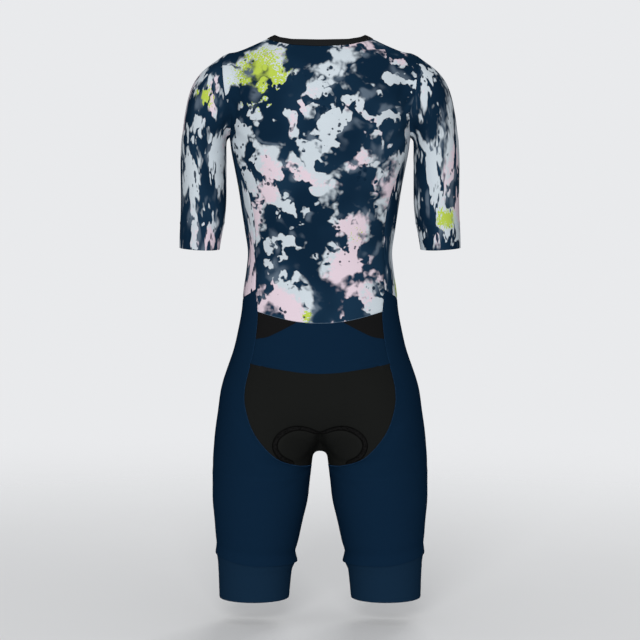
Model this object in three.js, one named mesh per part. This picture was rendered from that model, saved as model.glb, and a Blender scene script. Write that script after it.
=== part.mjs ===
// Short-legged, half-sleeved triathlon suit, filled out as it is worn, in millimetres.
// +Z is up, +Y is the wearer's front and +X the wearer's right, so its back faces -Y.
// The origin is in the middle of the neck opening, level with the points where neck and shoulders meet.
// Every panel is a thin wall on one smooth body form, and neighbours share the same seam points.
import * as THREE from "three";

// Driving dimensions
const CLOTH = 1.6; // wall of a single panel
const SEAM_GAP = 0.4; // free space between two panels at a seam
const SHOULDER_BLEND = 22; // how softly the sleeves run into the body
const HIP_BLEND = 30; // how softly the legs run into the hips
const CROTCH_BLEND = 26; // how softly the two legs meet
const HEM_Z = -947; // bottom of the leg grippers

// How the form's distances are worked out
const PROBE = 0.5; // half the step between two trial points
const LEAST_SLOPE = 0.2;
const END_SLOPE = 3; // how fast the distance grows past a table's end
const CLOSE = 0.004; // a settled point is this near the form
const SHARPEST_CORNER = 0.35; // limits how far a corner is drawn in at a seam
const SETTLE_TURNS = 14;
const SETTLE_SHARE = 0.9; // share of the distance that one turn takes
const IN_STEP = 0.7; // rows whose points are this near in step get the shorter diagonal
const RAY_STEP = 5;
const RAY_HALVINGS = 22;
const FAR = 300; // outside everything

// The torso at a few heights: half width, the back and front surfaces on the middle line,
// the y where it is widest, and how square its section is (2 is an ellipse).
const TORSO = [
  { z: 22, half: 36, back: -42, front: 34, mid: -4, square: 2.0 },
  { z: 8, half: 70, back: -57, front: 47, mid: -5, square: 2.0 },
  { z: 0, half: 88, back: -62, front: 53, mid: -6, square: 2.0 },
  { z: -10, half: 111, back: -69, front: 60, mid: -7, square: 2.0 },
  { z: -20, half: 134, back: -76, front: 66, mid: -8, square: 2.0 },
  { z: -30, half: 153, back: -82, front: 73, mid: -9, square: 2.05 },
  { z: -42, half: 163, back: -88, front: 80, mid: -9, square: 2.1 },
  { z: -60, half: 165, back: -95, front: 89, mid: -8, square: 2.2 },
  { z: -100, half: 158, back: -106, front: 101, mid: -6, square: 2.3 },
  { z: -140, half: 152, back: -111, front: 108, mid: -4, square: 2.35 },
  { z: -187, half: 149, back: -110, front: 111, mid: -1, square: 2.35 },
  { z: -221, half: 143.5, back: -107, front: 110, mid: 1, square: 2.3 },
  { z: -255, half: 137.5, back: -102, front: 107, mid: 3, square: 2.3 },
  { z: -289, half: 132.5, back: -95, front: 103, mid: 5, square: 2.25 },
  { z: -323, half: 127.5, back: -88, front: 99, mid: 6, square: 2.2 },
  { z: -360, half: 122.5, back: -81, front: 96, mid: 7, square: 2.2 },
  { z: -391, half: 125, back: -79, front: 95, mid: 6, square: 2.2 },
  { z: -425, half: 130, back: -80, front: 95, mid: 4, square: 2.2 },
  { z: -459, half: 133, back: -85, front: 95, mid: 1, square: 2.2 },
  { z: -493, half: 139.5, back: -94, front: 95, mid: -3, square: 2.2 },
  { z: -527, half: 147, back: -104, front: 94, mid: -7, square: 2.2 },
  { z: -561, half: 157, back: -114, front: 91, mid: -11, square: 2.2 },
  { z: -595, half: 163, back: -120, front: 85, mid: -15, square: 2.2 },
  { z: -620, half: 150, back: -119, front: 76, mid: -19, square: 2.2 },
  { z: -642, half: 132, back: -112, front: 62, mid: -22, square: 2.1 },
  { z: -662, half: 108, back: -98, front: 42, mid: -26, square: 2.0 },
  { z: -677, half: 80, back: -79, front: 19, mid: -28, square: 2.0 },
  { z: -687, half: 48, back: -58, front: -3, mid: -30, square: 2.0 },
];

// One sleeve with the round of the shoulder, on the +X side.
const SLEEVE = [
  { z: -27, x: 150, half: 4, back: -13, front: -3 },
  { z: -34, x: 155, half: 12, back: -24, front: 8 },
  { z: -41, x: 157, half: 22, back: -35, front: 19 },
  { z: -48, x: 159, half: 30, back: -43, front: 27 },
  { z: -57, x: 161, half: 38, back: -51, front: 34 },
  { z: -68, x: 164, half: 44, back: -57, front: 41 },
  { z: -85, x: 169, half: 48, back: -62, front: 47 },
  { z: -102, x: 174, half: 48.5, back: -64, front: 50 },
  { z: -119, x: 179, half: 47, back: -65, front: 51 },
  { z: -136, x: 186, half: 43, back: -64, front: 50 },
  { z: -153, x: 192, half: 39, back: -61, front: 48 },
  { z: -170, x: 196, half: 37.5, back: -58, front: 46 },
  { z: -204, x: 197, half: 38.5, back: -54, front: 45 },
  { z: -272, x: 197, half: 38.5, back: -48, front: 46 },
  { z: -306, x: 199, half: 37.5, back: -45, front: 45 },
  { z: -330, x: 202, half: 36, back: -42, front: 44 },
  { z: -357, x: 204.5, half: 34, back: -40, front: 44 },
  { z: -380, x: 206, half: 33, back: -38, front: 44 },
];

// One leg, on the +X side, from inside the hips down to below the hem.
const LEG = [
  { z: -545, x: 84, half: 40, back: -70, front: 40 },
  { z: -565, x: 88, half: 62, back: -95, front: 66 },
  { z: -595, x: 90, half: 76, back: -112, front: 79 },
  { z: -629, x: 93, half: 80.5, back: -119, front: 82 },
  { z: -663, x: 96, half: 83, back: -119, front: 81 },
  { z: -697, x: 97.5, half: 84.5, back: -112, front: 79 },
  { z: -714, x: 98, half: 85, back: -107, front: 77 },
  { z: -748, x: 100, half: 83, back: -100, front: 74 },
  { z: -782, x: 102, half: 81, back: -94, front: 70 },
  { z: -816, x: 104.5, half: 75.5, back: -88, front: 65 },
  { z: -850, x: 107, half: 70.5, back: -82, front: 60 },
  { z: -886, x: 110, half: 64.5, back: -76, front: 55 },
  { z: -935, x: 112, half: 60.5, back: -71, front: 50 },
  { z: -975, x: 113, half: 59, back: -69, front: 48 },
];

// Catmull-Rom value of one column of a table at height z; rows run downwards.
function column(table, name, z) {
  const last = table.length - 1;
  if (z >= table[0].z) return table[0][name];
  if (z <= table[last].z) return table[last][name];
  let i = 0;
  while (table[i + 1].z > z) i++;
  const row = (k) => table[Math.min(last, Math.max(0, k))];
  const [a, b, c, d] = [row(i - 1), row(i), row(i + 1), row(i + 2)];
  const slopeB = (c[name] - a[name]) / (c.z - a.z);
  const slopeC = (d[name] - b[name]) / (d.z - b.z);
  const span = c.z - b.z;
  const t = (z - b.z) / span;
  const t2 = t * t;
  const t3 = t2 * t;
  return (
    (2 * t3 - 3 * t2 + 1) * b[name] +
    (t3 - 2 * t2 + t) * span * slopeB +
    (3 * t2 - 2 * t3) * c[name] +
    (t3 - t2) * span * slopeC
  );
}

// How far p lies outside one stacked form, roughly; negative is inside.
function formValue(table, x, y, z) {
  const centre = table[0].x === undefined ? 0 : column(table, "x", z);
  const back = column(table, "back", z);
  const front = column(table, "front", z);
  const mid = table[0].mid === undefined ? (back + front) / 2 : column(table, "mid", z);
  const square = table[0].square === undefined ? 2 : column(table, "square", z);
  const half = column(table, "half", z);
  const deep = y < mid ? mid - back : front - mid;
  const across = Math.abs((x - centre) / half) ** square;
  const along = Math.abs((y - mid) / deep) ** square;
  const level = (across + along) ** (1 / square) - 1;
  const over = Math.max(0, z - table[0].z, table[table.length - 1].z - z);
  return level * Math.min(half, deep) + over * END_SLOPE;
}

function distanceTo(table, x, y, z) {
  const e = PROBE;
  const gx = formValue(table, x + e, y, z) - formValue(table, x - e, y, z);
  const gy = formValue(table, x, y + e, z) - formValue(table, x, y - e, z);
  const gz = formValue(table, x, y, z + e) - formValue(table, x, y, z - e);
  const steep = Math.hypot(gx, gy, gz) / (2 * e);
  return formValue(table, x, y, z) / Math.max(LEAST_SLOPE, steep);
}

function blend(a, b, width) {
  const h = Math.max(width - Math.abs(a - b), 0) / width;
  return Math.min(a, b) - (h * h * h * width) / 6;
}

// The whole body form: negative inside, zero on the cloth's outer face.
function body(x, y, z) {
  let d = distanceTo(TORSO, x, y, z);
  if (z > SLEEVE[SLEEVE.length - 1].z - 40) {
    d = blend(d, distanceTo(SLEEVE, Math.abs(x), y, z), SHOULDER_BLEND);
  }
  if (z < LEG[0].z + 60) {
    const legs = blend(distanceTo(LEG, x, y, z), distanceTo(LEG, -x, y, z), CROTCH_BLEND);
    d = blend(d, legs, HIP_BLEND);
  }
  return d;
}

// Seams are drawn on the +X side as short tables and settled onto the body form. Where a seam
// starts at the end of another, its table holds only the points after that start.
// angle runs round the torso from the middle of the back (0) to the middle of the front (180).
const NECKLINE = [
  { angle: 0, z: -13.5 },
  { angle: 40, z: -11 },
  { angle: 52, z: -8 },
  { angle: 64, z: -5 },
  { angle: 76, z: -2 },
  { angle: 90, z: -0.5 },
  { angle: 105, z: -4 },
  { angle: 120, z: -12 },
  { angle: 135, z: -24 },
  { angle: 150, z: -37 },
  { angle: 165, z: -46 },
  { angle: 180, z: -49 },
];
const ARMHOLE_BACK = [
  { x: 160, y: -9, z: -32 },
  { x: 163, y: -30, z: -38 },
  { x: 163, y: -44, z: -48 },
  { x: 161, y: -58, z: -70 },
  { x: 158, y: -61, z: -92 },
  { x: 152, y: -57, z: -115 },
  { x: 149.5, y: -46, z: -135 },
  { x: 150, y: -32, z: -151 },
  { x: 151.5, y: -20, z: -161.5 },
];
const ARMHOLE_BOTTOM = [
  { x: 151.5, y: -20, z: -161.5 },
  { x: 152.3, y: -4, z: -166.5 },
  { x: 151.5, y: 12, z: -161 },
];
const ARMHOLE_FRONT = [
  { x: 151.5, y: 12, z: -161 },
  { x: 150.5, y: 25, z: -149 },
  { x: 149.5, y: 37, z: -134 },
  { x: 149, y: 44, z: -115 },
  { x: 150, y: 46, z: -92 },
  { x: 155, y: 43, z: -70 },
  { x: 160, y: 30, z: -49 },
  { x: 161, y: 8, z: -36 },
  { x: 160, y: -9, z: -32 },
];
const SHOULDER_MIDDLE = { x: 125, y: -8, z: -13 };
const SIDE_BACK = [
  { x: 144.5, z: -193 },
  { x: 132, z: -225 },
  { x: 120.5, z: -256 },
  { x: 112.6, z: -286 },
  { x: 109, z: -317 },
  { x: 107.6, z: -366 },
  { x: 108.4, z: -405 },
  { x: 108.8, z: -420 },
];
const SIDE_FRONT = [
  { x: 141, z: -205 },
  { x: 130, z: -245 },
  { x: 121, z: -290 },
  { x: 115, z: -340 },
  { x: 112, z: -400 },
];
const LEG_TOP_SIDE = [
  { x: 118, y: -36, z: -427 },
  { x: 125, y: -25, z: -432 },
  { x: 131, y: 3, z: -440 },
  { x: 124, y: 42, z: -448 },
];
const WAIST_FRONT = { x: 110, z: -452 };
const LEG_TOP_FRONT = [
  { x: 80, z: -461 },
  { x: 40, z: -468 },
];
const ZIP_FOOT_Z = -470;
const PRINT_LOW_SIDE = [
  { x: 107, z: -440 },
  { x: 105, z: -457 },
];
const PRINT_HEM_SIDE = [
  { x: 75, z: -464.5 },
  { x: 52, z: -469.3 },
  { x: 40, z: -471.3 },
];
const PRINT_HEM_MIDDLE = [
  { x: 20, z: -473.3 },
  { x: 0, z: -474 },
];
const WEDGE_SIDE = [
  { x: 106, z: -480 },
  { x: 108.4, z: -502 },
];
const WEDGE_CURVE = [
  { x: 88.5, z: -497.5 },
  { x: 68.4, z: -488 },
  { x: 55, z: -481 },
  { x: 41, z: -473.4 },
];
const YOKE_SIDE = [
  { x: 112, z: -522 },
  { x: 117, z: -541.5 },
];
const SEAT_TOP = [
  { x: 66.5, z: -549 },
  { x: 33, z: -553.8 },
  { x: 0, z: -555.6 },
];
const SEAT_SIDE = [
  { x: 122.8, y: -90, z: -566 },
  { x: 125.8, y: -98, z: -586 },
  { x: 125.8, y: -105, z: -605.5 },
  { x: 121.8, y: -112, z: -625.5 },
  { x: 114.6, y: -117, z: -646.5 },
  { x: 101.7, y: -118, z: -668 },
  { x: 86.5, y: -114, z: -686.5 },
  { x: 71.7, y: -106, z: -700 },
  { x: 55, y: -96, z: -708.5 },
  { x: 36, y: -78, z: -715 },
  { x: 22, y: -52, z: -718.5 },
  { x: 13, y: -14, z: -722 },
];
const GUSSET_FRONT = [
  { x: 15, y: 12, z: -718 },
  { x: 20, y: 36, z: -706 },
  { x: 19, y: 54, z: -686 },
  { x: 11, y: 68, z: -660 },
  { x: 4, y: 76, z: -640 },
];
// Heights on the middle lines and the zip's edge
const MIDDLE_BACK_Z = [-60, -130, -200, -270, -340, -400, -440];
const ZIP_EDGE_Z = [-75, -110, -160, -210, -260, -310, -360, -420];
const MIDDLE_FRONT_Z = [-510, -550, -595];
const MIDDLE_YOKE_Z = -515;
const MIDDLE_UNDER = [
  { x: 0, y: -116, z: -585 },
  { x: 0, y: -115, z: -615 },
  { x: 0, y: -106, z: -645 },
  { x: 0, y: -88, z: -668 },
  { x: 0, y: -60, z: -688 },
  { x: 0, y: -20, z: -700 },
  { x: 0, y: 25, z: -693 },
  { x: 0, y: 55, z: -670 },
];

// Sizes of the smaller pieces
const BINDING_WIDTH = 9;
const BINDING_WALL = 2.4;
const ZIP_TAPE = 6.5; // half of the zip's visible width
const SLEEVE_HEM_Z = -354.5;
const SLEEVE_HEM_TILT = 4.5;
const GRIP_TOP_Z = -879;
const LEG_FLARE = 2.1; // the leg's end stands out over the gripper
const LEG_FLARE_ZONE = { from: 864, to: 876 };
const PAD_LOBE = { x: 43, z: -679, wide: 36, tall: 33, rim: 0.45, raised: 3, front: -55 };
const PAD_GAP = 0.5; // between the seat panel and the pad inside it
const PAD_THICK = 5;
const PAD_EDGE = 2;
const PAD_ROWS = { first: 5, last: 13, wide: 0.78, narrow: 0.6 }; // shares of the seat panel's rows
const SEAT_NARROWS = 0.55; // share of the way down where the seat's rows get fewer points
const SEAT_COLUMNS = 10;
const ZIP_COIL = 2.6;
const COIL_RISE = 0.7;
// The slider: how far below the zip's top, its length and width, its height above the zip at the
// underside, plate and hinge, and the bridge's window, wall, length and the slope of its ends.
const SLIDER = {
  below: 9, long: 14, wide: 5.6, low: 1.1, plate: 2.6,
  hinge: 4.1, window: 2.8, wall: 1.1, bridge: 6.4, slope: 1,
};
// The pull tab: half widths outside and inside, half its bar, its eye and whole length
const TAB = { half: 4.6, inner: 3.2, bar: 0.8, eye: 6.5, long: 23, round: 2.5, thick: 1.4 };

// How many wall faces run along each seam
const STEPS = {
  shoulder: 4, neck: 6, armhole: 10, underarm: 4, side: 9, legTopSide: 4, front: 8,
  printLow: 2, wedge: 2, yoke: 2, hemSide: 5, hemMiddle: 5, seatSide: 11, gusset: 6,
};
const SLEEVE_ROWS = 11;
const SLEEVE_START = 1.1; // how far the sleeve's columns set off sideways from the armhole
const SMOOTHING = 3;
const LEG_COLUMNS = 24;
const GRIP_ROWS = 3;
const BINDING_ROWS = 2;
const INSEAM_ANGLE = THREE.MathUtils.degToRad(-91);
const DOWN = new THREE.Vector3(0, 0, -1);
const INSEAM_Z = [-722, -746, -772, -798, -824, -848, -864, -876, -886];

const point = (row) => new THREE.Vector3(row.x, row.y, row.z);

function normalAt(p) {
  const e = PROBE;
  const n = new THREE.Vector3(
    body(p.x + e, p.y, p.z) - body(p.x - e, p.y, p.z),
    body(p.x, p.y + e, p.z) - body(p.x, p.y - e, p.z),
    body(p.x, p.y, p.z + e) - body(p.x, p.y, p.z - e),
  );
  return n.normalize();
}

// Moves a point onto the body form along the form's own normal.
function settle(p) {
  const q = p.clone();
  for (let turn = 0; turn < SETTLE_TURNS; turn++) {
    const d = body(q.x, q.y, q.z);
    if (Math.abs(d) < CLOSE) break;
    q.addScaledVector(normalAt(q), -d * SETTLE_SHARE);
  }
  return q;
}

// Where a ray first crosses the form, from inside or from outside it
function cross(origin, direction) {
  const at = (s) => origin.clone().addScaledVector(direction, s);
  const inside = (s) => body(...at(s).toArray()) < 0;
  const startsInside = inside(0);
  let far = 0;
  while (far < 2 * FAR && inside(far) === startsInside) far += RAY_STEP;
  let near = far - RAY_STEP;
  for (let i = 0; i < RAY_HALVINGS; i++) {
    const half = (near + far) / 2;
    if (inside(half) === startsInside) near = half;
    else far = half;
  }
  return at((near + far) / 2);
}
const onBack = (x, z) => cross(new THREE.Vector3(x, -FAR, z), new THREE.Vector3(0, 1, 0));
const onFront = (x, z) => cross(new THREE.Vector3(x, FAR, z), new THREE.Vector3(0, -1, 0));

// The torso's own chart: an angle round its upright axis, and a height.
function aroundTorso(angle, z) {
  const origin = new THREE.Vector3(0, column(TORSO, "mid", z), z);
  return cross(origin, new THREE.Vector3(Math.sin(angle), -Math.cos(angle), 0));
}
// The right leg's chart: an angle round an axis that runs up from the leg into the hip.
const LEG_LINE = [
  { z: -440, x: 55, y: 2 },
  { z: -560, x: 74, y: -8 },
  { z: -700, x: 97, y: -15 },
  { z: -850, x: 107, y: -11 },
  { z: -960, x: 112.5, y: -10.5 },
];
function aroundLeg(angle, z) {
  const origin = new THREE.Vector3(column(LEG_LINE, "x", z), column(LEG_LINE, "y", z), z);
  return cross(origin, new THREE.Vector3(Math.sin(angle), -Math.cos(angle), 0));
}
// Evenly spaced points along a smooth curve through the given points, settled onto the form.
function seam(points, steps) {
  const curve = new THREE.CatmullRomCurve3(points, false, "centripetal");
  const ends = [points[0], points[points.length - 1]];
  return curve.getSpacedPoints(steps).map((p, i) => {
    if (i === 0) return ends[0].clone();
    if (i === steps) return ends[1].clone();
    return settle(p);
  });
}
const joined = (...seams) => seams.flatMap((s, i) => (i ? s.slice(1) : s));
const settled = (rows) => rows.map(point).map(settle);
const backTable = (rows) => rows.map((r) => onBack(r.x, r.z));
const frontTable = (rows) => rows.map((r) => onFront(r.x, r.z));

// A seam in an axis's own coordinates, its angle kept in step from one point to the next.
function flattened(line, axis, start) {
  let before = start;
  return line.map((p) => {
    const f = axis.flatten(p);
    if (axis.round) f.x += Math.round((before.x - f.x) / (2 * Math.PI)) * 2 * Math.PI;
    before = f;
    return f;
  });
}

// Rows of a four-sided patch, from its top seam down to its bottom seam. The side seams have
// one point for each row. Inner points are worked out round an upright axis, then settled.
function patch(top, bottom, left, right, axis, stepsAt) {
  const last = left.length - 1;
  const flatLeft = flattened(left, axis, axis.flatten(left[0]));
  const flatTop = flattened(top, axis, flatLeft[0]);
  const flatBottom = flattened(bottom, axis, flatLeft[last]);
  const flatRight = flattened(right, axis, flatTop[top.length - 1]);
  const along = (line, s) => {
    const at = s * (line.length - 1);
    const i = Math.min(Math.floor(at), line.length - 2);
    return line[i].clone().lerp(line[i + 1], at - i);
  };
  const corners = [flatTop[0], flatRight[0], flatBottom[0], flatRight[last]];
  const rows = left.map((start, j) => {
    if (j === 0) return top;
    if (j === last) return bottom;
    const t = j / last;
    const steps = stepsAt ? stepsAt(t) : Math.round(THREE.MathUtils.lerp(top.length, bottom.length, t)) - 1;
    const row = [start];
    for (let i = 1; i < steps; i++) {
      const s = i / steps;
      const p = along(flatTop, s).multiplyScalar(1 - t);
      p.addScaledVector(along(flatBottom, s), t);
      p.addScaledVector(flatLeft[j], 1 - s).addScaledVector(flatRight[j], s);
      p.addScaledVector(corners[0], -(1 - s) * (1 - t)).addScaledVector(corners[1], -s * (1 - t));
      p.addScaledVector(corners[2], -(1 - s) * t).addScaledVector(corners[3], -s * t);
      row.push(settle(axis.raise(p)));
    }
    row.push(right[j]);
    return row;
  });
  return rows;
}

// Evens out the inner points of rows that all have the same number of points.
function relax(rows, turns, ring) {
  for (let turn = 0; turn < turns; turn++) {
    for (let j = 1; j < rows.length - 1; j++) {
      const count = rows[j].length;
      for (let i = ring ? 0 : 1; i < (ring ? count : count - 1); i++) {
        const before = rows[j][(i + count - 1) % count];
        const after = rows[j][(i + 1) % count];
        const middle = before.clone().add(after).add(rows[j - 1][i]).add(rows[j + 1][i]);
        rows[j][i] = settle(middle.multiplyScalar(0.25));
      }
    }
  }
  return rows;
}

// Upright axes that the patches are worked out round: the torso's, the right leg's and none.
const turned = (axisX, axisY) => ({
  round: true,
  flatten(p) {
    const x = p.x - axisX(p.z);
    const y = axisY(p.z) - p.y;
    return new THREE.Vector3(Math.atan2(x, y), Math.hypot(x, y), p.z);
  },
  raise(f) {
    return new THREE.Vector3(
      axisX(f.z) + Math.sin(f.x) * f.y,
      axisY(f.z) - Math.cos(f.x) * f.y,
      f.z,
    );
  },
});
const TORSO_AXIS = turned(() => 0, (z) => column(TORSO, "mid", z));
const LEG_AXIS = turned((z) => column(LEG_LINE, "x", z), (z) => column(LEG_LINE, "y", z));
const NO_AXIS = { flatten: (p) => p.clone(), raise: (p) => p.clone() };

// The seams, each drawn once and shared by the panels on both sides of it.
const neckPoints = NECKLINE.map((row) => aroundTorso(THREE.MathUtils.degToRad(row.angle), row.z));
const sideIndex = NECKLINE.findIndex((row) => row.angle === 90);
const neckSide = neckPoints[sideIndex];
const zipTop = onFront(ZIP_TAPE, NECKLINE[NECKLINE.length - 1].z);
const neckBack = seam(neckPoints.slice(0, sideIndex + 1), STEPS.neck);
const neckFront = seam([...neckPoints.slice(sideIndex, -1), zipTop], STEPS.neck);
const shoulder = seam([neckSide, point(SHOULDER_MIDDLE), point(ARMHOLE_BACK[0])].map(settle), STEPS.shoulder);
const armholeBack = seam(settled(ARMHOLE_BACK), STEPS.armhole);
const armholeBottom = seam(settled(ARMHOLE_BOTTOM), STEPS.underarm);
const armholeFront = seam(settled(ARMHOLE_FRONT), STEPS.armhole);
const underarmBack = armholeBottom[0];
const underarmFront = armholeBottom[STEPS.underarm];
const sideBack = seam([underarmBack, ...backTable(SIDE_BACK)], STEPS.side);
const waistFront = onFront(WAIST_FRONT.x, WAIST_FRONT.z);
const legTopSide = seam([sideBack[STEPS.side], ...settled(LEG_TOP_SIDE), waistFront], STEPS.legTopSide);
const sideFront = seam([underarmFront, ...frontTable(SIDE_FRONT), waistFront], STEPS.side);
const zipFoot = onFront(ZIP_TAPE, ZIP_FOOT_Z);
const legTopFront = seam([waistFront, ...frontTable(LEG_TOP_FRONT), zipFoot], STEPS.front);
const printLow = seam([sideBack[STEPS.side], ...backTable(PRINT_LOW_SIDE)], STEPS.printLow);
const printCorner = printLow[STEPS.printLow];
const hemSide = seam([printCorner, ...backTable(PRINT_HEM_SIDE)], STEPS.hemSide);
const wedgeTipTop = hemSide[STEPS.hemSide];
const hemMiddle = seam([wedgeTipTop, ...backTable(PRINT_HEM_MIDDLE)], STEPS.hemMiddle);
const wedgeSide = seam([printCorner, ...backTable(WEDGE_SIDE)], STEPS.wedge);
const wedgeCorner = wedgeSide[STEPS.wedge];
const wedgeCurve = seam([wedgeCorner, ...backTable(WEDGE_CURVE)], STEPS.hemSide);
const wedgeTipLow = wedgeCurve[STEPS.hemSide];
const yokeSide = seam([wedgeCorner, ...backTable(YOKE_SIDE)], STEPS.yoke);
const yokeCorner = yokeSide[STEPS.yoke];
const seatTop = seam([yokeCorner, ...backTable(SEAT_TOP)], STEPS.hemSide + STEPS.hemMiddle);
const seatSide = seam([yokeCorner, ...settled(SEAT_SIDE)], STEPS.seatSide);
const inseamTop = seatSide[STEPS.seatSide];
const gusset = seam([inseamTop, ...settled(GUSSET_FRONT)], STEPS.gusset);
const gussetTip = gusset[STEPS.gusset];

// The middle line at the front, from the foot of the zip down to the gusset's short front edge.
const middleTop = onFront(0, zipFoot.z);
const middleFoot = onFront(0, gussetTip.z);
const legEdgeRows = STEPS.printLow + STEPS.wedge + STEPS.yoke + STEPS.seatSide;
const middleFront = seam(
  [middleTop, ...MIDDLE_FRONT_Z.map((z) => onFront(0, z)), middleFoot],
  legEdgeRows - STEPS.gusset - 1,
);

// The line under the body from the seat's top edge, between the legs, to the gusset's front edge.
const seatMiddle = seatTop[seatTop.length - 1];
const middleUnder = seam([seatMiddle, ...settled(MIDDLE_UNDER), middleFoot], STEPS.seatSide + STEPS.gusset);

// A row's points mirrored to the other side of the suit, and a half row made whole.
const mirrored = (row) => row.map((p) => new THREE.Vector3(-p.x, p.y, p.z));
const whole = (row) => [...mirrored(row).reverse(), ...row.slice(1)];

// Joins rows into faces; neighbouring rows may have different numbers of points.
function lattice(rows, ring) {
  const points = [];
  const index = new Map();
  const number = (p) => {
    const key = p.toArray().map((v) => Math.round(v * 1000)).join();
    if (!index.has(key)) {
      index.set(key, points.length);
      points.push(p);
    }
    return index.get(key);
  };
  const faces = [];
  const face = (a, b, c) => {
    if (a !== b && b !== c && c !== a) faces.push([a, b, c]);
  };
  const gap = (a, b) => points[a].distanceTo(points[b]);
  const lines = rows.map((row) => (ring ? [...row, row[0]] : row).map(number));
  for (let j = 0; j + 1 < lines.length; j++) {
    const [upper, lower] = [lines[j], lines[j + 1]];
    let [i, k] = [0, 0];
    while (i < upper.length - 1 || k < lower.length - 1) {
      const ahead = (i + 1) / (upper.length - 1) - (k + 1) / (lower.length - 1);
      const both = i < upper.length - 1 && k < lower.length - 1;
      const shorter = both && gap(upper[i + 1], lower[k]) < gap(upper[i], lower[k + 1]);
      const level = Math.abs(ahead) * Math.max(upper.length, lower.length) < IN_STEP;
      if (k === lower.length - 1 || (both && (level ? shorter : ahead < 0))) {
        face(upper[i], lower[k], upper[i + 1]);
        i++;
      } else {
        face(upper[i], lower[k], lower[k + 1]);
        k++;
      }
    }
  }
  return { points, faces };
}

// Where each edge point goes to leave half of the seam gap, measured along the surface.
function insetPoints(points, faces, normals, inset) {
  const edges = new Map();
  for (const [a, b, c] of faces) {
    for (const [from, to] of [[a, b], [b, c], [c, a]]) {
      if (!edges.delete(`${to},${from}`)) edges.set(`${from},${to}`, [from, to]);
    }
  }
  const border = [...edges.values()];
  const pushes = new Map();
  for (const [from, to] of border) {
    for (const at of [from, to]) {
      const direction = points[to].clone().sub(points[from]);
      const inward = normals[at].clone().cross(direction).normalize();
      pushes.set(at, [...(pushes.get(at) ?? []), inward]);
    }
  }
  const moved = points.map((p) => p.clone());
  for (const [at, inwards] of pushes) {
    const sum = inwards.reduce((total, v) => total.clone().add(v)).normalize();
    const slant = Math.max(SHARPEST_CORNER, sum.dot(inwards[0]));
    moved[at].addScaledVector(sum, inset / slant);
  }
  return { border, moved };
}

const colours = {
  printed: 0x6f7f92,
  black: 0x191919,
  navy: 0x0c2237,
  gripper: 0x15293d,
  metal: 0x24262a,
};
const METAL = { metalness: 0.9, roughness: 0.4 };
const WOVEN = { metalness: 0, roughness: 0.8 };
const group = new THREE.Group();

function addMesh(name, geometry, color, finish) {
  const material = new THREE.MeshStandardMaterial({ color, ...finish });
  const mesh = new THREE.Mesh(geometry, material);
  mesh.name = name;
  group.add(mesh);
  return mesh;
}

// A cloth wall on the rows' points. lift(p) moves it out and wall(p, edge) is its thickness.
function cloth(name, rows, colour, options = {}) {
  const { ring = false, lift = () => 0, wall = () => CLOTH } = options;
  const { points, faces } = lattice(rows, ring);
  const normals = points.map(normalAt);
  const [a, b, c] = faces[Math.floor(faces.length / 2)];
  const facing = points[b].clone().sub(points[a]).cross(points[c].clone().sub(points[a]));
  const outward = facing.dot(normals[a]) > 0 ? faces : faces.map(([p, q, r]) => [p, r, q]);
  const { border, moved } = insetPoints(points, outward, normals, SEAM_GAP / 2);
  const onEdge = new Set(border.flat());
  const count = points.length;
  const positions = [];
  points.forEach((p, i) => positions.push(moved[i].clone().addScaledVector(normals[i], lift(p))));
  points.forEach((p, i) => {
    const depth = lift(p) - wall(p, onEdge.has(i));
    positions.push(moved[i].clone().addScaledVector(normals[i], depth));
  });
  const triangles = [];
  for (const [p, q, r] of outward) {
    triangles.push(p, q, r, count + p, count + r, count + q);
  }
  for (const [from, to] of border) {
    triangles.push(to, from, count + from, to, count + from, count + to);
  }
  const geometry = new THREE.BufferGeometry().setFromPoints(positions);
  geometry.setIndex(triangles);
  geometry.computeVertexNormals();
  return addMesh(name, geometry, colour, WOVEN);
}

// Both of a pair; "left" is the wearer's left, on the -X side.
function pair(name, rows, colour, options) {
  cloth(`${name}_right`, rows, colour, options);
  cloth(`${name}_left`, rows.map(mirrored), colour, options);
}

// Back panel, from the neckline to the print's hem
const middleBack = seam(
  [neckBack[0], ...MIDDLE_BACK_Z.map((z) => onBack(0, z)), hemMiddle[STEPS.hemMiddle]],
  STEPS.shoulder + STEPS.armhole + STEPS.side + STEPS.printLow,
);
const backEdge = joined(shoulder, armholeBack, sideBack, printLow);
const backHem = [...joined(hemSide, hemMiddle)].reverse();
cloth("back_panel", patch(neckBack, backHem, middleBack, backEdge, TORSO_AXIS).map(whole), colours.printed);

// Front panels, open at the zip
const zipEdge = seam(
  [zipTop, ...ZIP_EDGE_Z.map((z) => onFront(ZIP_TAPE, z)), zipFoot],
  STEPS.shoulder + STEPS.armhole + STEPS.side,
);
const frontEdge = joined(shoulder, [...armholeFront].reverse(), sideFront);
const frontRows = patch([...neckFront].reverse(), [...legTopFront].reverse(), zipEdge, frontEdge, TORSO_AXIS);
pair("front_panel", frontRows, colours.printed);

// Side panels, from under the arm down to the leg panel's top
pair("side_panel", patch(armholeBottom, legTopSide, sideBack, sideFront, TORSO_AXIS), colours.printed);

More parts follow.
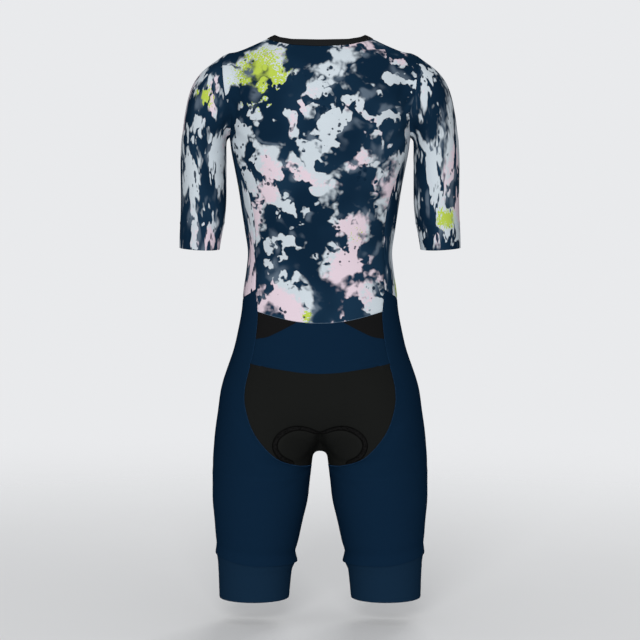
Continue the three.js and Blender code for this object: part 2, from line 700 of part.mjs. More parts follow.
// Sleeves: columns run from the armhole to the hem, then settle on the form
const armhole = joined(armholeBack, armholeBottom, armholeFront).slice(0, -1);
const sleeveRows = [];
for (let j = 0; j <= SLEEVE_ROWS; j++) {
  const t = j / SLEEVE_ROWS;
  const blendIn = t * t * (3 - 2 * t);
  sleeveRows.push(armhole.map((start, i) => {
    if (j === 0) return start;
    const turn = (i / armhole.length) * 2 * Math.PI;
    const z = SLEEVE_HEM_Z + SLEEVE_HEM_TILT * Math.cos(turn);
    const half = column(SLEEVE, "half", z);
    const middleY = (column(SLEEVE, "back", z) + column(SLEEVE, "front", z)) / 2;
    const x = column(SLEEVE, "x", z) + half * Math.cos(turn);
    const hem = new THREE.Vector3(x, middleY - half * Math.sin(turn), z);
    const reach = start.distanceTo(hem);
    const out = new THREE.Vector3(reach * SLEEVE_START, 0, -reach * SLEEVE_START);
    const p = start.clone().multiplyScalar(1 - blendIn).addScaledVector(hem, blendIn);
    p.addScaledVector(out, t * (1 - t) * (1 - t)).addScaledVector(DOWN, reach * t * t * (t - 1));
    return settle(p);
  }));
}
pair("sleeve", relax(sleeveRows, SMOOTHING, true), colours.printed, { ring: true });

// Back wedges, below the side parts of the print's hem
const wedgeTip = seam([wedgeTipTop, wedgeTipLow], STEPS.wedge);
const wedgeRows = patch(hemSide, wedgeCurve, wedgeSide, wedgeTip, NO_AXIS);
pair("back_wedge", wedgeRows, colours.black);

// Waist yoke, between the wedges and the seat
const yokeTop = [...joined(wedgeCurve, [wedgeTipLow, wedgeTipTop], hemMiddle)].reverse();
const middleYoke = seam([yokeTop[0], onBack(0, MIDDLE_YOKE_Z), seatMiddle], STEPS.yoke);
const yokeRows = patch(yokeTop, [...seatTop].reverse(), middleYoke, yokeSide, NO_AXIS);
cloth("waist_yoke", yokeRows.map(whole), colours.navy);

// Seat panel, pressed out by the pad's two lobes
function padLift(p) {
  const far = Math.hypot((Math.abs(p.x) - PAD_LOBE.x) / PAD_LOBE.wide, (p.z - PAD_LOBE.z) / PAD_LOBE.tall);
  const near = THREE.MathUtils.smoothstep(1 - far, 0, PAD_LOBE.rim);
  return p.y < PAD_LOBE.front ? PAD_LOBE.raised * near : 0;
}
const seatEdge = joined(seatSide, gusset);
function seatSteps(t) {
  const narrowing = Math.max(0, (t - SEAT_NARROWS) / (1 - SEAT_NARROWS));
  return Math.round(THREE.MathUtils.lerp(SEAT_COLUMNS, 1, narrowing));
}
const seatHalfTop = [...seatTop].reverse();
const seatRows = patch(seatHalfTop, [middleFoot, gussetTip], middleUnder, seatEdge, NO_AXIS, seatSteps);
cloth("seat_panel", seatRows.map(whole), colours.black, { lift: padLift });

// Seat pad, inside the seat panel
const padRows = seatRows.slice(PAD_ROWS.first, PAD_ROWS.last + 1).map((row, j, all) => {
  const share = THREE.MathUtils.lerp(PAD_ROWS.wide, PAD_ROWS.narrow, j / (all.length - 1));
  return row.slice(0, Math.round(row.length * share));
});
cloth("seat_pad", padRows.map(whole), colours.black, {
  lift: (p) => padLift(p) - CLOTH - PAD_GAP,
  wall: (p, edge) => (edge ? PAD_EDGE : PAD_THICK),
});

// Leg panels: one wall from the waist, round the leg, closed by the inseam, down to the gripper
const legRing = (z) => {
  const ring = [];
  for (let i = 0; i < LEG_COLUMNS; i++) {
    ring.push(aroundLeg(INSEAM_ANGLE + (i / LEG_COLUMNS) * 2 * Math.PI, z));
  }
  return ring;
};
const closedRing = (z, first) => {
  const ring = legRing(z);
  ring[0] = first ?? ring[0];
  return [...ring, ring[0]];
};
const legTop = joined(legTopSide, legTopFront, [zipFoot, middleTop]);
const legBackEdge = joined(printLow, wedgeSide, yokeSide, seatSide);
const legFrontEdge = [...middleFront, ...[...gusset].reverse()];
const upperLeg = patch(legTop, closedRing(INSEAM_Z[0], inseamTop), legBackEdge, legFrontEdge, LEG_AXIS);
const lowerLeg = INSEAM_Z.slice(1).map((z) => closedRing(z));
const legLift = (p) => LEG_FLARE * THREE.MathUtils.smoothstep(-p.z, LEG_FLARE_ZONE.from, LEG_FLARE_ZONE.to);
pair("leg_panel", [...upperLeg, ...lowerLeg], colours.navy, { lift: legLift });

// Leg grippers, whose tops lie inside the ends of the leg panels
const gripRows = [];
for (let j = 0; j <= GRIP_ROWS; j++) {
  gripRows.push(legRing(THREE.MathUtils.lerp(GRIP_TOP_Z, HEM_Z, j / GRIP_ROWS)));
}
pair("leg_gripper", gripRows, colours.gripper, { ring: true });

// Neck binding, a band that runs up the surface from the neckline and is open at the zip
const neckHalf = joined(neckBack, neckFront);
const bandRows = [neckHalf];
for (let j = 0; j < BINDING_ROWS; j++) {
  const below = bandRows[bandRows.length - 1];
  bandRows.push(below.map((p, i) => {
    const before = below[Math.max(0, i - 1)];
    const after = below[Math.min(below.length - 1, i + 1)];
    const upward = after.clone().sub(before).cross(normalAt(p)).normalize();
    if (upward.z < 0) upward.negate();
    const raised = settle(p.clone().addScaledVector(upward, BINDING_WIDTH / BINDING_ROWS));
    if (i === 0) return onBack(0, raised.z);
    if (i === below.length - 1) return onFront(ZIP_TAPE, raised.z);
    return raised;
  }));
}
const bandLift = () => (BINDING_WALL - CLOTH) / 2;
cloth("neck_binding", bandRows.map(whole), colours.black, { lift: bandLift, wall: () => BINDING_WALL });

// Zip tapes, with a raised coil along the middle
const bandEnds = bandRows.slice(1).map((row) => row[row.length - 1]).reverse();
const tapeEdge = [...bandEnds, ...zipEdge];
const coilLift = (p) => (Math.abs(p.x) <= ZIP_COIL + SEAM_GAP ? COIL_RISE : 0);
const tapeRows = tapeEdge.map((p) => [p, onFront(ZIP_COIL, p.z), onFront(0, p.z)]);
pair("zip_tape", tapeRows, colours.black, { lift: coilLift });

// Slider and pull tab at the top of the zip, on axes of their own: across, up the zip and outward
const sliderSeat = onFront(0, bandEnds[0].z - SLIDER.below);
const acrossZip = new THREE.Vector3(1, 0, 0);
const outOfZip = normalAt(sliderSeat).setX(0).normalize();
const upZip = acrossZip.clone().cross(outOfZip);

function outline(points) {
  return new THREE.Shape(points.map(([u, v]) => new THREE.Vector2(u, v)));
}
function rectangle(left, right, low, high) {
  return [[left, low], [right, low], [right, high], [left, high]];
}
function extruded(shape, depth) {
  const geometry = new THREE.ExtrudeGeometry(shape, { depth, bevelEnabled: false, curveSegments: 6 });
  return geometry.translate(0, 0, -depth / 2);
}
function place(mesh, axes, outBy) {
  mesh.quaternion.setFromRotationMatrix(new THREE.Matrix4().makeBasis(...axes));
  mesh.position.copy(sliderSeat).addScaledVector(outOfZip, outBy);
}
const plateTop = SLIDER.plate;
const bridgeTop = SLIDER.hinge + SLIDER.window / 2 + SLIDER.wall;
const sliderShape = outline([
  [-SLIDER.long / 2, SLIDER.low],
  [SLIDER.long / 2, SLIDER.low],
  [SLIDER.long / 2, plateTop],
  [SLIDER.bridge / 2, plateTop],
  [SLIDER.bridge / 2 - SLIDER.slope, bridgeTop],
  [-SLIDER.bridge / 2 + SLIDER.slope, bridgeTop],
  [-SLIDER.bridge / 2, plateTop],
  [-SLIDER.long / 2, plateTop],
]);
const windowHalf = SLIDER.window / 2;
sliderShape.holes.push(
  outline(rectangle(-windowHalf, windowHalf, SLIDER.hinge - windowHalf, SLIDER.hinge + windowHalf)),
);
const slider = addMesh("zip_slider", extruded(sliderShape, SLIDER.wide), colours.metal, METAL);
place(slider, [upZip, outOfZip, acrossZip.clone().negate()], 0);

const tabShape = outline([
  [-TAB.half, TAB.bar],
  [-TAB.half, -TAB.long + TAB.round],
  [-TAB.half + TAB.round, -TAB.long],
  [TAB.half - TAB.round, -TAB.long],
  [TAB.half, -TAB.long + TAB.round],
  [TAB.half, TAB.bar],
]);
tabShape.holes.push(outline(rectangle(-TAB.inner, TAB.inner, -TAB.eye, -TAB.bar)));
const tab = addMesh("zip_pull_tab", extruded(tabShape, TAB.thick), colours.metal, METAL);
place(tab, [acrossZip, upZip, outOfZip.clone().negate()], SLIDER.hinge);

export default group;
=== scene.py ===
import bmesh
import bpy
import numpy as np
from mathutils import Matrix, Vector


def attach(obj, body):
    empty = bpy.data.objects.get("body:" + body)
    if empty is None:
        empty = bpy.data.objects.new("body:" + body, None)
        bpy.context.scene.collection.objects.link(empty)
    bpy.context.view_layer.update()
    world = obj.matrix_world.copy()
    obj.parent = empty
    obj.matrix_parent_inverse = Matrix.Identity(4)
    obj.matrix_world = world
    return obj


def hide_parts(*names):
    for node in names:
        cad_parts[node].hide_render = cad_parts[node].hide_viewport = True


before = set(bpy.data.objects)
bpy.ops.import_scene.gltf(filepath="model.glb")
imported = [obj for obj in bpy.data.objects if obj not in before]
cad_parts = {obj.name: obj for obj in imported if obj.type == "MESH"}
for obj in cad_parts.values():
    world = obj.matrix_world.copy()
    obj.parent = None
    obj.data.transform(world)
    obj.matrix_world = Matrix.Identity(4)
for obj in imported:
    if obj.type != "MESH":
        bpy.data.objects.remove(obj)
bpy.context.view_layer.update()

# Back panel
# The printed back is one piece of brushed knit of polyester and elastane, from neck to waist.
# It is printed flat, cut, and overlocked to the sleeves, sides and fronts, so its edges roll in.
MM = 0.001
TORSO = np.array([
    # z, half, back, front, mid, square
    (22, 36, -42, 34, -4, 2.0),
    (8, 70, -57, 47, -5, 2.0),
    (0, 88, -62, 53, -6, 2.0),
    (-10, 111, -69, 60, -7, 2.0),
    (-20, 134, -76, 66, -8, 2.0),
    (-30, 153, -82, 73, -9, 2.05),
    (-42, 163, -88, 80, -9, 2.1),
    (-60, 165, -95, 89, -8, 2.2),
    (-100, 158, -106, 101, -6, 2.3),
    (-140, 152, -111, 108, -4, 2.35),
    (-187, 149, -110, 111, -1, 2.35),
    (-221, 143.5, -107, 110, 1, 2.3),
    (-255, 137.5, -102, 107, 3, 2.3),
    (-289, 132.5, -95, 103, 5, 2.25),
    (-323, 127.5, -88, 99, 6, 2.2),
    (-360, 122.5, -81, 96, 7, 2.2),
    (-391, 125, -79, 95, 6, 2.2),
    (-425, 130, -80, 95, 4, 2.2),
    (-459, 133, -85, 95, 1, 2.2),
    (-493, 139.5, -94, 95, -3, 2.2),
    (-527, 147, -104, 94, -7, 2.2),
    (-561, 157, -114, 91, -11, 2.2),
    (-595, 163, -120, 85, -15, 2.2),
    (-620, 150, -119, 76, -19, 2.2),
    (-642, 132, -112, 62, -22, 2.1),
    (-662, 108, -98, 42, -26, 2.0),
    (-677, 80, -79, 19, -28, 2.0),
    (-687, 48, -58, -3, -30, 2.0),
])
SLEEVE = np.array([
    # z, x, half, back, front
    (-27, 150, 4, -13, -3),
    (-34, 155, 12, -24, 8),
    (-41, 157, 22, -35, 19),
    (-48, 159, 30, -43, 27),
    (-57, 161, 38, -51, 34),
    (-68, 164, 44, -57, 41),
    (-85, 169, 48, -62, 47),
    (-102, 174, 48.5, -64, 50),
    (-119, 179, 47, -65, 51),
    (-136, 186, 43, -64, 50),
    (-153, 192, 39, -61, 48),
    (-170, 196, 37.5, -58, 46),
    (-204, 197, 38.5, -54, 45),
    (-272, 197, 38.5, -48, 46),
    (-306, 199, 37.5, -45, 45),
    (-330, 202, 36, -42, 44),
    (-357, 204.5, 34, -40, 44),
    (-380, 206, 33, -38, 44),
])
LEG = np.array([
    # z, x, half, back, front
    (-545, 84, 40, -70, 40),
    (-565, 88, 62, -95, 66),
    (-595, 90, 76, -112, 79),
    (-629, 93, 80.5, -119, 82),
    (-663, 96, 83, -119, 81),
    (-697, 97.5, 84.5, -112, 79),
    (-714, 98, 85, -107, 77),
    (-748, 100, 83, -100, 74),
    (-782, 102, 81, -94, 70),
    (-816, 104.5, 75.5, -88, 65),
    (-850, 107, 70.5, -82, 60),
    (-886, 110, 64.5, -76, 55),
    (-935, 112, 60.5, -71, 50),
    (-975, 113, 59, -69, 48),
])
SHOULDER_BLEND = 22
HIP_BLEND = 30
CROTCH_BLEND = 26
TABLE_STEP = 0.5
PROBE = 0.5
END_SLOPE = 3
LEAST_SLOPE = 0.2
ARM_MARGIN = 40  # how far past its own end a limb still bends the body
LEG_MARGIN = 60
SETTLED = 0.01
SETTLE_SHARE = 0.9
SETTLE_TURNS = 7


def fine_table(table, names):
    # Every column of a table at close heights, eased from row to row
    z = table[:, 0]
    heights = np.arange(z[-1], z[0] + TABLE_STEP / 2, TABLE_STEP)
    at = np.clip(np.searchsorted(-z, -heights, side="right") - 1, 0, len(z) - 2)
    span = z[at + 1] - z[at]
    t = (heights - z[at]) / span
    before = np.maximum(at - 1, 0)
    after = np.minimum(at + 2, len(z) - 1)
    columns = {"z": heights, "top": z[0], "foot": z[-1]}
    for i, name in enumerate(names):
        v = table[:, i + 1]
        slope_b = (v[at + 1] - v[before]) / (z[at + 1] - z[before])
        slope_c = (v[after] - v[at]) / (z[after] - z[at])
        columns[name] = (
            (2 * t**3 - 3 * t**2 + 1) * v[at]
            + (t**3 - 2 * t**2 + t) * span * slope_b
            + (3 * t**2 - 2 * t**3) * v[at + 1]
            + (t**3 - t**2) * span * slope_c
        )
    return columns


torso_form = fine_table(TORSO, ["half", "back", "front", "mid", "square"])
sleeve_form = fine_table(SLEEVE, ["x", "half", "back", "front"])
leg_form = fine_table(LEG, ["x", "half", "back", "front"])


def column(form, name, z):
    return np.interp(z, form["z"], form[name])


def form_value(form, x, y, z):
    back = column(form, "back", z)
    front = column(form, "front", z)
    half = column(form, "half", z)
    centre = column(form, "x", z) if "x" in form else 0
    middle = column(form, "mid", z) if "mid" in form else (back + front) / 2
    square = column(form, "square", z) if "square" in form else 2.0
    deep = np.where(y < middle, middle - back, front - middle)
    reach = np.abs((x - centre) / half) ** square + np.abs((y - middle) / deep) ** square
    over = np.maximum(0, np.maximum(z - form["top"], form["foot"] - z))
    return (reach ** (1 / square) - 1) * np.minimum(half, deep) + over * END_SLOPE


def distance_to(form, x, y, z):
    gx = form_value(form, x + PROBE, y, z) - form_value(form, x - PROBE, y, z)
    gy = form_value(form, x, y + PROBE, z) - form_value(form, x, y - PROBE, z)
    gz = form_value(form, x, y, z + PROBE) - form_value(form, x, y, z - PROBE)
    steep = np.sqrt(gx**2 + gy**2 + gz**2) / (2 * PROBE)
    return form_value(form, x, y, z) / np.maximum(LEAST_SLOPE, steep)


def blend(a, b, width):
    h = np.maximum(width - np.abs(a - b), 0) / width
    return np.minimum(a, b) - h**3 * width / 6


def outside(p):
    # Distance of points from the body form, negative inside it
    x, y, z = p[..., 0], p[..., 1], p[..., 2]
    d = distance_to(torso_form, x, y, z)
    arms = z > sleeve_form["foot"] - ARM_MARGIN
    if arms.any():
        sleeve = distance_to(sleeve_form, np.abs(x[arms]), y[arms], z[arms])
        d[arms] = blend(d[arms], sleeve, SHOULDER_BLEND)
    low = z < leg_form["top"] + LEG_MARGIN
    if low.any():
        right = distance_to(leg_form, x[low], y[low], z[low])
        left = distance_to(leg_form, -x[low], y[low], z[low])
        d[low] = blend(d[low], blend(right, left, CROTCH_BLEND), HIP_BLEND)
    return d


def normals_at(p):
    steps = np.eye(3) * PROBE
    n = np.stack([outside(p + s) - outside(p - s) for s in steps], axis=-1)
    return n / np.linalg.norm(n, axis=-1, keepdims=True)


def settle(p, turns=SETTLE_TURNS):
    # Moves points onto the form, each along the form's own normal
    p = np.array(p, float)
    flat = p.reshape(-1, 3)
    todo = np.arange(len(flat))
    for _ in range(turns):
        d = outside(flat[todo])
        todo, d = todo[np.abs(d) > SETTLED], d[np.abs(d) > SETTLED]
        if len(todo) == 0:
            break
        flat[todo] -= normals_at(flat[todo]) * d[:, None] * SETTLE_SHARE
    return flat.reshape(p.shape)


# How panels are laid on the form
FAR = 300  # outside everything
RAY_STEP = 5
RAY_HALVINGS = 22
LAYING_TURNS = 14  # listed points may lie farther off the form
FILLING_TURNS = 12
NEAR_TURNS = 4
SEAM_PARTS = 30
SEAM_SPACING = 1.5
CLOTH = 1.2  # the cloth's own thickness
SEAM_DIP = 0.75  # how far a sewn edge rolls in
SEAM_ROUND = 1.7  # how wide that roll is
EDGE_ROW = 0.3  # a row this share of a face from each edge


def first_crossing(origin, direction):
    reach = np.arange(0, 2 * FAR, RAY_STEP)
    inside = outside(origin[:, None] + direction[:, None] * reach[:, None]) < 0
    started = inside[:, 0]
    far = np.argmax(inside != inside[:, :1], axis=1)
    low, high = reach[far - 1].astype(float), reach[far].astype(float)
    for _ in range(RAY_HALVINGS):
        half = (low + high) / 2
        same = (outside(origin + direction * half[:, None]) < 0) == started
        low, high = np.where(same, half, low), np.where(same, high, half)
    return origin + direction * ((low + high) / 2)[:, None]


def straight_onto(pairs, side):
    # Points of the form's back (side -1) or front (side 1) at the given x and z
    rows = np.array(pairs, float).reshape(-1, 2)
    origin = np.stack([rows[:, 0], np.full(len(rows), side * FAR), rows[:, 1]], axis=-1)
    return first_crossing(origin, np.tile([0.0, -side, 0.0], (len(rows), 1)))


def on_back(pairs):
    return straight_onto(pairs, -1)


def on_front(pairs):
    return straight_onto(pairs, 1)


def around(angle, z, middle_x, middle_y):
    # Points of the form at angles round an upright line, from the back's middle to the front's
    angle, z = np.broadcast_arrays(np.asarray(angle, float), np.asarray(z, float))
    origin = np.stack([np.broadcast_to(middle_x, z.shape), np.broadcast_to(middle_y, z.shape), z], -1)
    return first_crossing(origin, np.stack([np.sin(angle), -np.cos(angle), np.zeros(len(z))], -1))


def evenly(points, count):
    reach = np.r_[0, np.cumsum(np.linalg.norm(np.diff(points, axis=0), axis=1))]
    at = np.linspace(0, reach[-1], count + 1)
    return np.stack([np.interp(at, reach, points[:, i]) for i in range(3)], axis=-1)


def mirrored(points):
    return points * np.array([-1, 1, 1])


def seam(*parts):
    # One smooth seam line through the given points, settled onto the form
    points = np.vstack(parts)
    first, last = 2 * points[:1] - points[1:2], 2 * points[-1:] - points[-2:-1]
    if points[0, 0] == 0 and points[1, 0] != 0:  # a line that crosses the middle goes on beyond it
        first = mirrored(points[1:2])
    if points[-1, 0] == 0 and points[-2, 0] != 0:
        last = mirrored(points[-2:-1])
    row = np.vstack([first, points, last])
    gap = np.sqrt(np.linalg.norm(np.diff(row, axis=0), axis=1))
    line = []
    t = np.linspace(0, 1, SEAM_PARTS)[:, None]
    for i in range(len(points) - 1):
        a, b, c, d = row[i : i + 4]
        before, here, after = gap[i : i + 3]
        into = ((b - a) / before - (c - a) / (before + here) + (c - b) / here) * here
        out = ((c - b) / here - (d - b) / (here + after) + (d - c) / after) * here
        line.append(
            b + into * t + (3 * (c - b) - 2 * into - out) * t**2 + (2 * (b - c) + into + out) * t**3
        )
    line = np.vstack(line)
    length = np.linalg.norm(np.diff(line, axis=0), axis=1).sum()
    line = evenly(line, max(2, int(length / SEAM_SPACING)))
    line[1:-1] = settle(line[1:-1])
    return line


def edge_at(edge, t):
    # Points along an edge made of (seam, steps) parts, at places counted in steps
    points = np.zeros((len(t), 3))
    start = 0
    for line, steps in edge:
        here = (t >= start) & (t <= start + steps)
        reach = np.r_[0, np.cumsum(np.linalg.norm(np.diff(line, axis=0), axis=1))]
        at = (t[here] - start) / steps * reach[-1]
        points[here] = np.stack([np.interp(at, reach, line[:, i]) for i in range(3)], axis=-1)
        start += steps
    return points


def steps_in(edge):
    return sum(steps for line, steps in edge)


def turned_round(p, axis):
    # A line's angle, radius and height round an upright axis; no axis leaves it as it is
    if axis is None:
        return np.array(p)
    x = p[..., 0] - axis(p[..., 2])[0]
    y = axis(p[..., 2])[1] - p[..., 1]
    return np.stack([np.unwrap(np.arctan2(x, y)), np.hypot(x, y), p[..., 2]], axis=-1)


def turned_back(f, axis):
    if axis is None:
        return f
    x, y = axis(f[..., 2])
    return np.stack([x + np.sin(f[..., 0]) * f[..., 1], y - np.cos(f[..., 0]) * f[..., 1], f[..., 2]], -1)


def in_turn(f, start, axis):
    if axis is not None:
        f[:, 0] += np.round((start[0] - f[0, 0]) / (2 * np.pi)) * 2 * np.pi
    return f


def patch(top, bottom, left, right, axis):
    # A four-sided piece of cloth between its seams, settled onto the form
    rows, columns = steps_in(left), steps_in(top)
    down, across = np.arange(rows + 1.0), np.arange(columns + 1.0)
    a = turned_round(edge_at(left, down), axis)
    b = in_turn(turned_round(edge_at(top, across), axis), a[0], axis)
    c = in_turn(turned_round(edge_at(bottom, across), axis), a[-1], axis)
    d = in_turn(turned_round(edge_at(right, down), axis), b[-1], axis)
    t, s = (down / rows)[:, None, None], (across / columns)[None, :, None]
    grid = b[None] * (1 - t) + c[None] * t + a[:, None] * (1 - s) + d[:, None] * s
    grid = grid - b[0] * (1 - s) * (1 - t) - d[0] * s * (1 - t) - c[0] * (1 - s) * t - d[-1] * s * t
    grid = turned_back(grid, axis)
    grid[1:-1, 1:-1] = settle(grid[1:-1, 1:-1], FILLING_TURNS)
    grid[0], grid[-1] = edge_at(top, across), edge_at(bottom, across)
    grid[:, 0], grid[:, -1] = edge_at(left, down), edge_at(right, down)
    return grid


def fine_steps(steps, parts, ends=True):
    t = np.arange(steps * parts + 1) / parts
    if ends:
        near = EDGE_ROW / parts
        t = np.sort(np.r_[t, near, steps - near])
    return t


def eased(grid, t, line_axis, ring=False):
    # Smooth in-between points of a grid along one of its axes
    grid = np.moveaxis(grid, line_axis, 0)
    i = np.minimum(t.astype(int), len(grid) - 2)
    f = (t - i)[:, None, None]
    if ring:
        grid = np.concatenate([grid[-2:-1], grid, grid[1:2]])
    else:
        grid = np.concatenate([2 * grid[:1] - grid[1:2], grid, 2 * grid[-1:] - grid[-2:-1]])
    a, b, c, d = grid[i], grid[i + 1], grid[i + 2], grid[i + 3]
    out = b + f * (c - a) / 2 + f**2 * (a - 2.5 * b + 2 * c - d / 2) + f**3 * (1.5 * (b - c) + (d - a) / 2)
    return np.moveaxis(out, 0, line_axis)


def made_whole(grid):
    return np.concatenate([mirrored(grid[:, :0:-1]), grid], axis=1)


class Panel:
    """A panel's fine grid of points on the form, with its normals and its distances from its edges."""

    def __init__(self, grid, parts, edges=None, whole=False, ring=False):
        if whole:
            grid = made_whole(grid)
        rows, columns = len(grid) - 1, grid.shape[1] - 1
        down = fine_steps(rows, parts)
        across = fine_steps(columns, parts, not ring)
        normals = normals_at(grid)
        self.ring = ring
        self.points = eased(eased(grid, down, 0), across, 1, ring)
        self.normals = eased(eased(normals, down, 0), across, 1, ring)
        self.normals /= np.linalg.norm(self.normals, axis=-1, keepdims=True)
        if edges:
            top, bottom, left, right = edges
            half = columns / 2 if whole else 0
            for row, edge in ((0, top), (-1, bottom)):
                exact = edge_at(edge, np.abs(across - half))
                exact[:, 0] *= np.where(across < half, -1, 1)
                self.points[row] = exact
            self.points[:, -1] = edge_at(right, down)
            self.points[:, 0] = mirrored(self.points[:, -1]) if whole else edge_at(left, down)
        self.down, self.across = down, across

    def mirror(self):
        other = object.__new__(Panel)
        other.ring = self.ring
        other.points, other.normals = mirrored(self.points), mirrored(self.normals)
        other.down, other.across = self.down, self.across
        return other

    def pair(self):
        return ("right", self), ("left", self.mirror())

    def lengths(self, line_axis):
        step = np.linalg.norm(np.diff(self.points, axis=line_axis), axis=-1)
        start = np.zeros_like(np.take(step, [0], axis=line_axis))
        return np.concatenate([start, np.cumsum(step, axis=line_axis)], axis=line_axis)

    def from_edges(self):
        # Distances to the top, bottom, left and right edges, measured on the cloth
        down, across = self.lengths(0), self.lengths(1)
        return down, down[-1:] - down, across, across[:, -1:] - across

    def cut_places(self):
        # Where each point lies on the flat cloth: across from the middle, and down
        down, across = self.lengths(0), self.lengths(1)
        return across - across[:, -1:] / 2, -down.mean(axis=1, keepdims=True) + 0 * down


def hump(away, width):
    # 1 on a line, and fading to both sides of it
    return np.exp(-((away / width) ** 2))


def rolled_edges(panel, sides="tblr", dip=SEAM_DIP):
    top, bottom, left, right = panel.from_edges()
    lift = np.zeros(top.shape)
    for side, away in zip("tblr", (top, bottom, left, right)):
        if side in sides:
            lift -= dip * hump(away, SEAM_ROUND)
    return np.maximum(lift, -dip)


# Soft creases, as the photo has them, with similar ones on the hidden sides: where each starts
# and ends, how wide it is and how deep
CREASES = np.array([
    # x, y, z, to x, to y, to z, width, depth
    (96, -6, -7, 160, -9, -31, 17, 2.4),
    (150, -40, -150, 112, -93, -182, 8, 1.3),
    (153, -46, -132, 124, -86, -143, 6, 0.9),
    (147, -34, -172, 121, -80, -214, 7, 0.8),
    (118, -45, -351, 90, -67, -343, 7, 0.8),
    (121, -42, -371, 82, -71, -385, 8, 0.9),
    (124, -38, -392, 104, -62, -399, 6, 0.5),
    (163, -18, -186, 182, -50, -199, 6, 0.9),
    (162, -8, -214, 187, -50, -238, 7, 0.7),
    (178, -55, -118, 196, -56, -160, 8, 0.7),
    (101, -112, -699, 48, -93, -722, 9, 1.1),
    (118, -112, -646, 150, -88, -628, 9, 0.6),
    (30, -70, -742, 62, -98, -752, 8, 0.6),
    (20, 60, -652, 72, 80, -632, 9, 1.2),
    (17, 52, -688, 58, 73, -676, 7, 0.9),
    (148, 35, -136, 108, 89, -163, 8, 1.2),
    (151, 28, -152, 122, 74, -194, 7, 0.8),
    (101, 62, -351, 48, 92, -363, 8, 0.8),
    (104, 58, -378, 62, 88, -398, 7, 0.6),
    (-96, -6, -7, -160, -9, -31, 17, 1.6),
    (-149, -38, -152, -116, -90, -189, 8, 1.1),
    (-153, -44, -138, -131, -80, -147, 6, 1.0),
    (-146, -30, -176, -126, -74, -207, 7, 0.6),
    (-117, -47, -346, -94, -65, -341, 7, 0.7),
    (-120, -44, -366, -79, -72, -377, 9, 1.0),
    (-163, -20, -181, -184, -50, -196, 6, 0.8),
    (-162, -12, -221, -183, -52, -240, 7, 0.8),
    (-179, -55, -124, -194, -57, -158, 8, 0.6),
    (-98, -112, -702, -42, -91, -724, 9, 1.2),
    (-121, -111, -640, -149, -89, -626, 9, 0.5),
    (-27, -68, -738, -66, -99, -755, 8, 0.5),
    (-20, 60, -655, -66, 81, -629, 9, 1.0),
    (-17, 52, -684, -62, 72, -671, 7, 1.0),
    (-148, 36, -132, -104, 91, -159, 8, 1.0),
    (-151, 28, -155, -125, 72, -189, 7, 0.9),
    (-102, 61, -347, -54, 91, -356, 8, 0.9),
    (-103, 59, -384, -66, 87, -401, 7, 0.5),
])
CREASE_BEGUN = 0.12  # a crease starts at this share of its rise
CREASE_ROUND = 0.7
CREASE_BROW = 0.45  # the ridge beside the trough, and how many widths away it is
CREASE_BROW_AWAY = 1.9


def creased(points):
    lift = np.zeros(points.shape[:-1])
    for row in CREASES:
        start, end, width, depth = row[:3], row[3:6], row[6], row[7]
        along = end - start
        t = np.clip(((points - start) @ along) / (along @ along), 0, 1)
        away = np.linalg.norm(points - start - t[..., None] * along, axis=-1)
        fade = np.sin(np.pi * np.clip(CREASE_BEGUN + (1 - CREASE_BEGUN) * t, 0, 1)) ** CREASE_ROUND
        brow = CREASE_BROW * hump(away - CREASE_BROW_AWAY * width, width)
        lift += depth * fade * (brow - hump(away, width))
    return lift


def placed(name, data):
    piece = bpy.data.objects.new(name, data)
    bpy.context.scene.collection.objects.link(piece)
    return piece


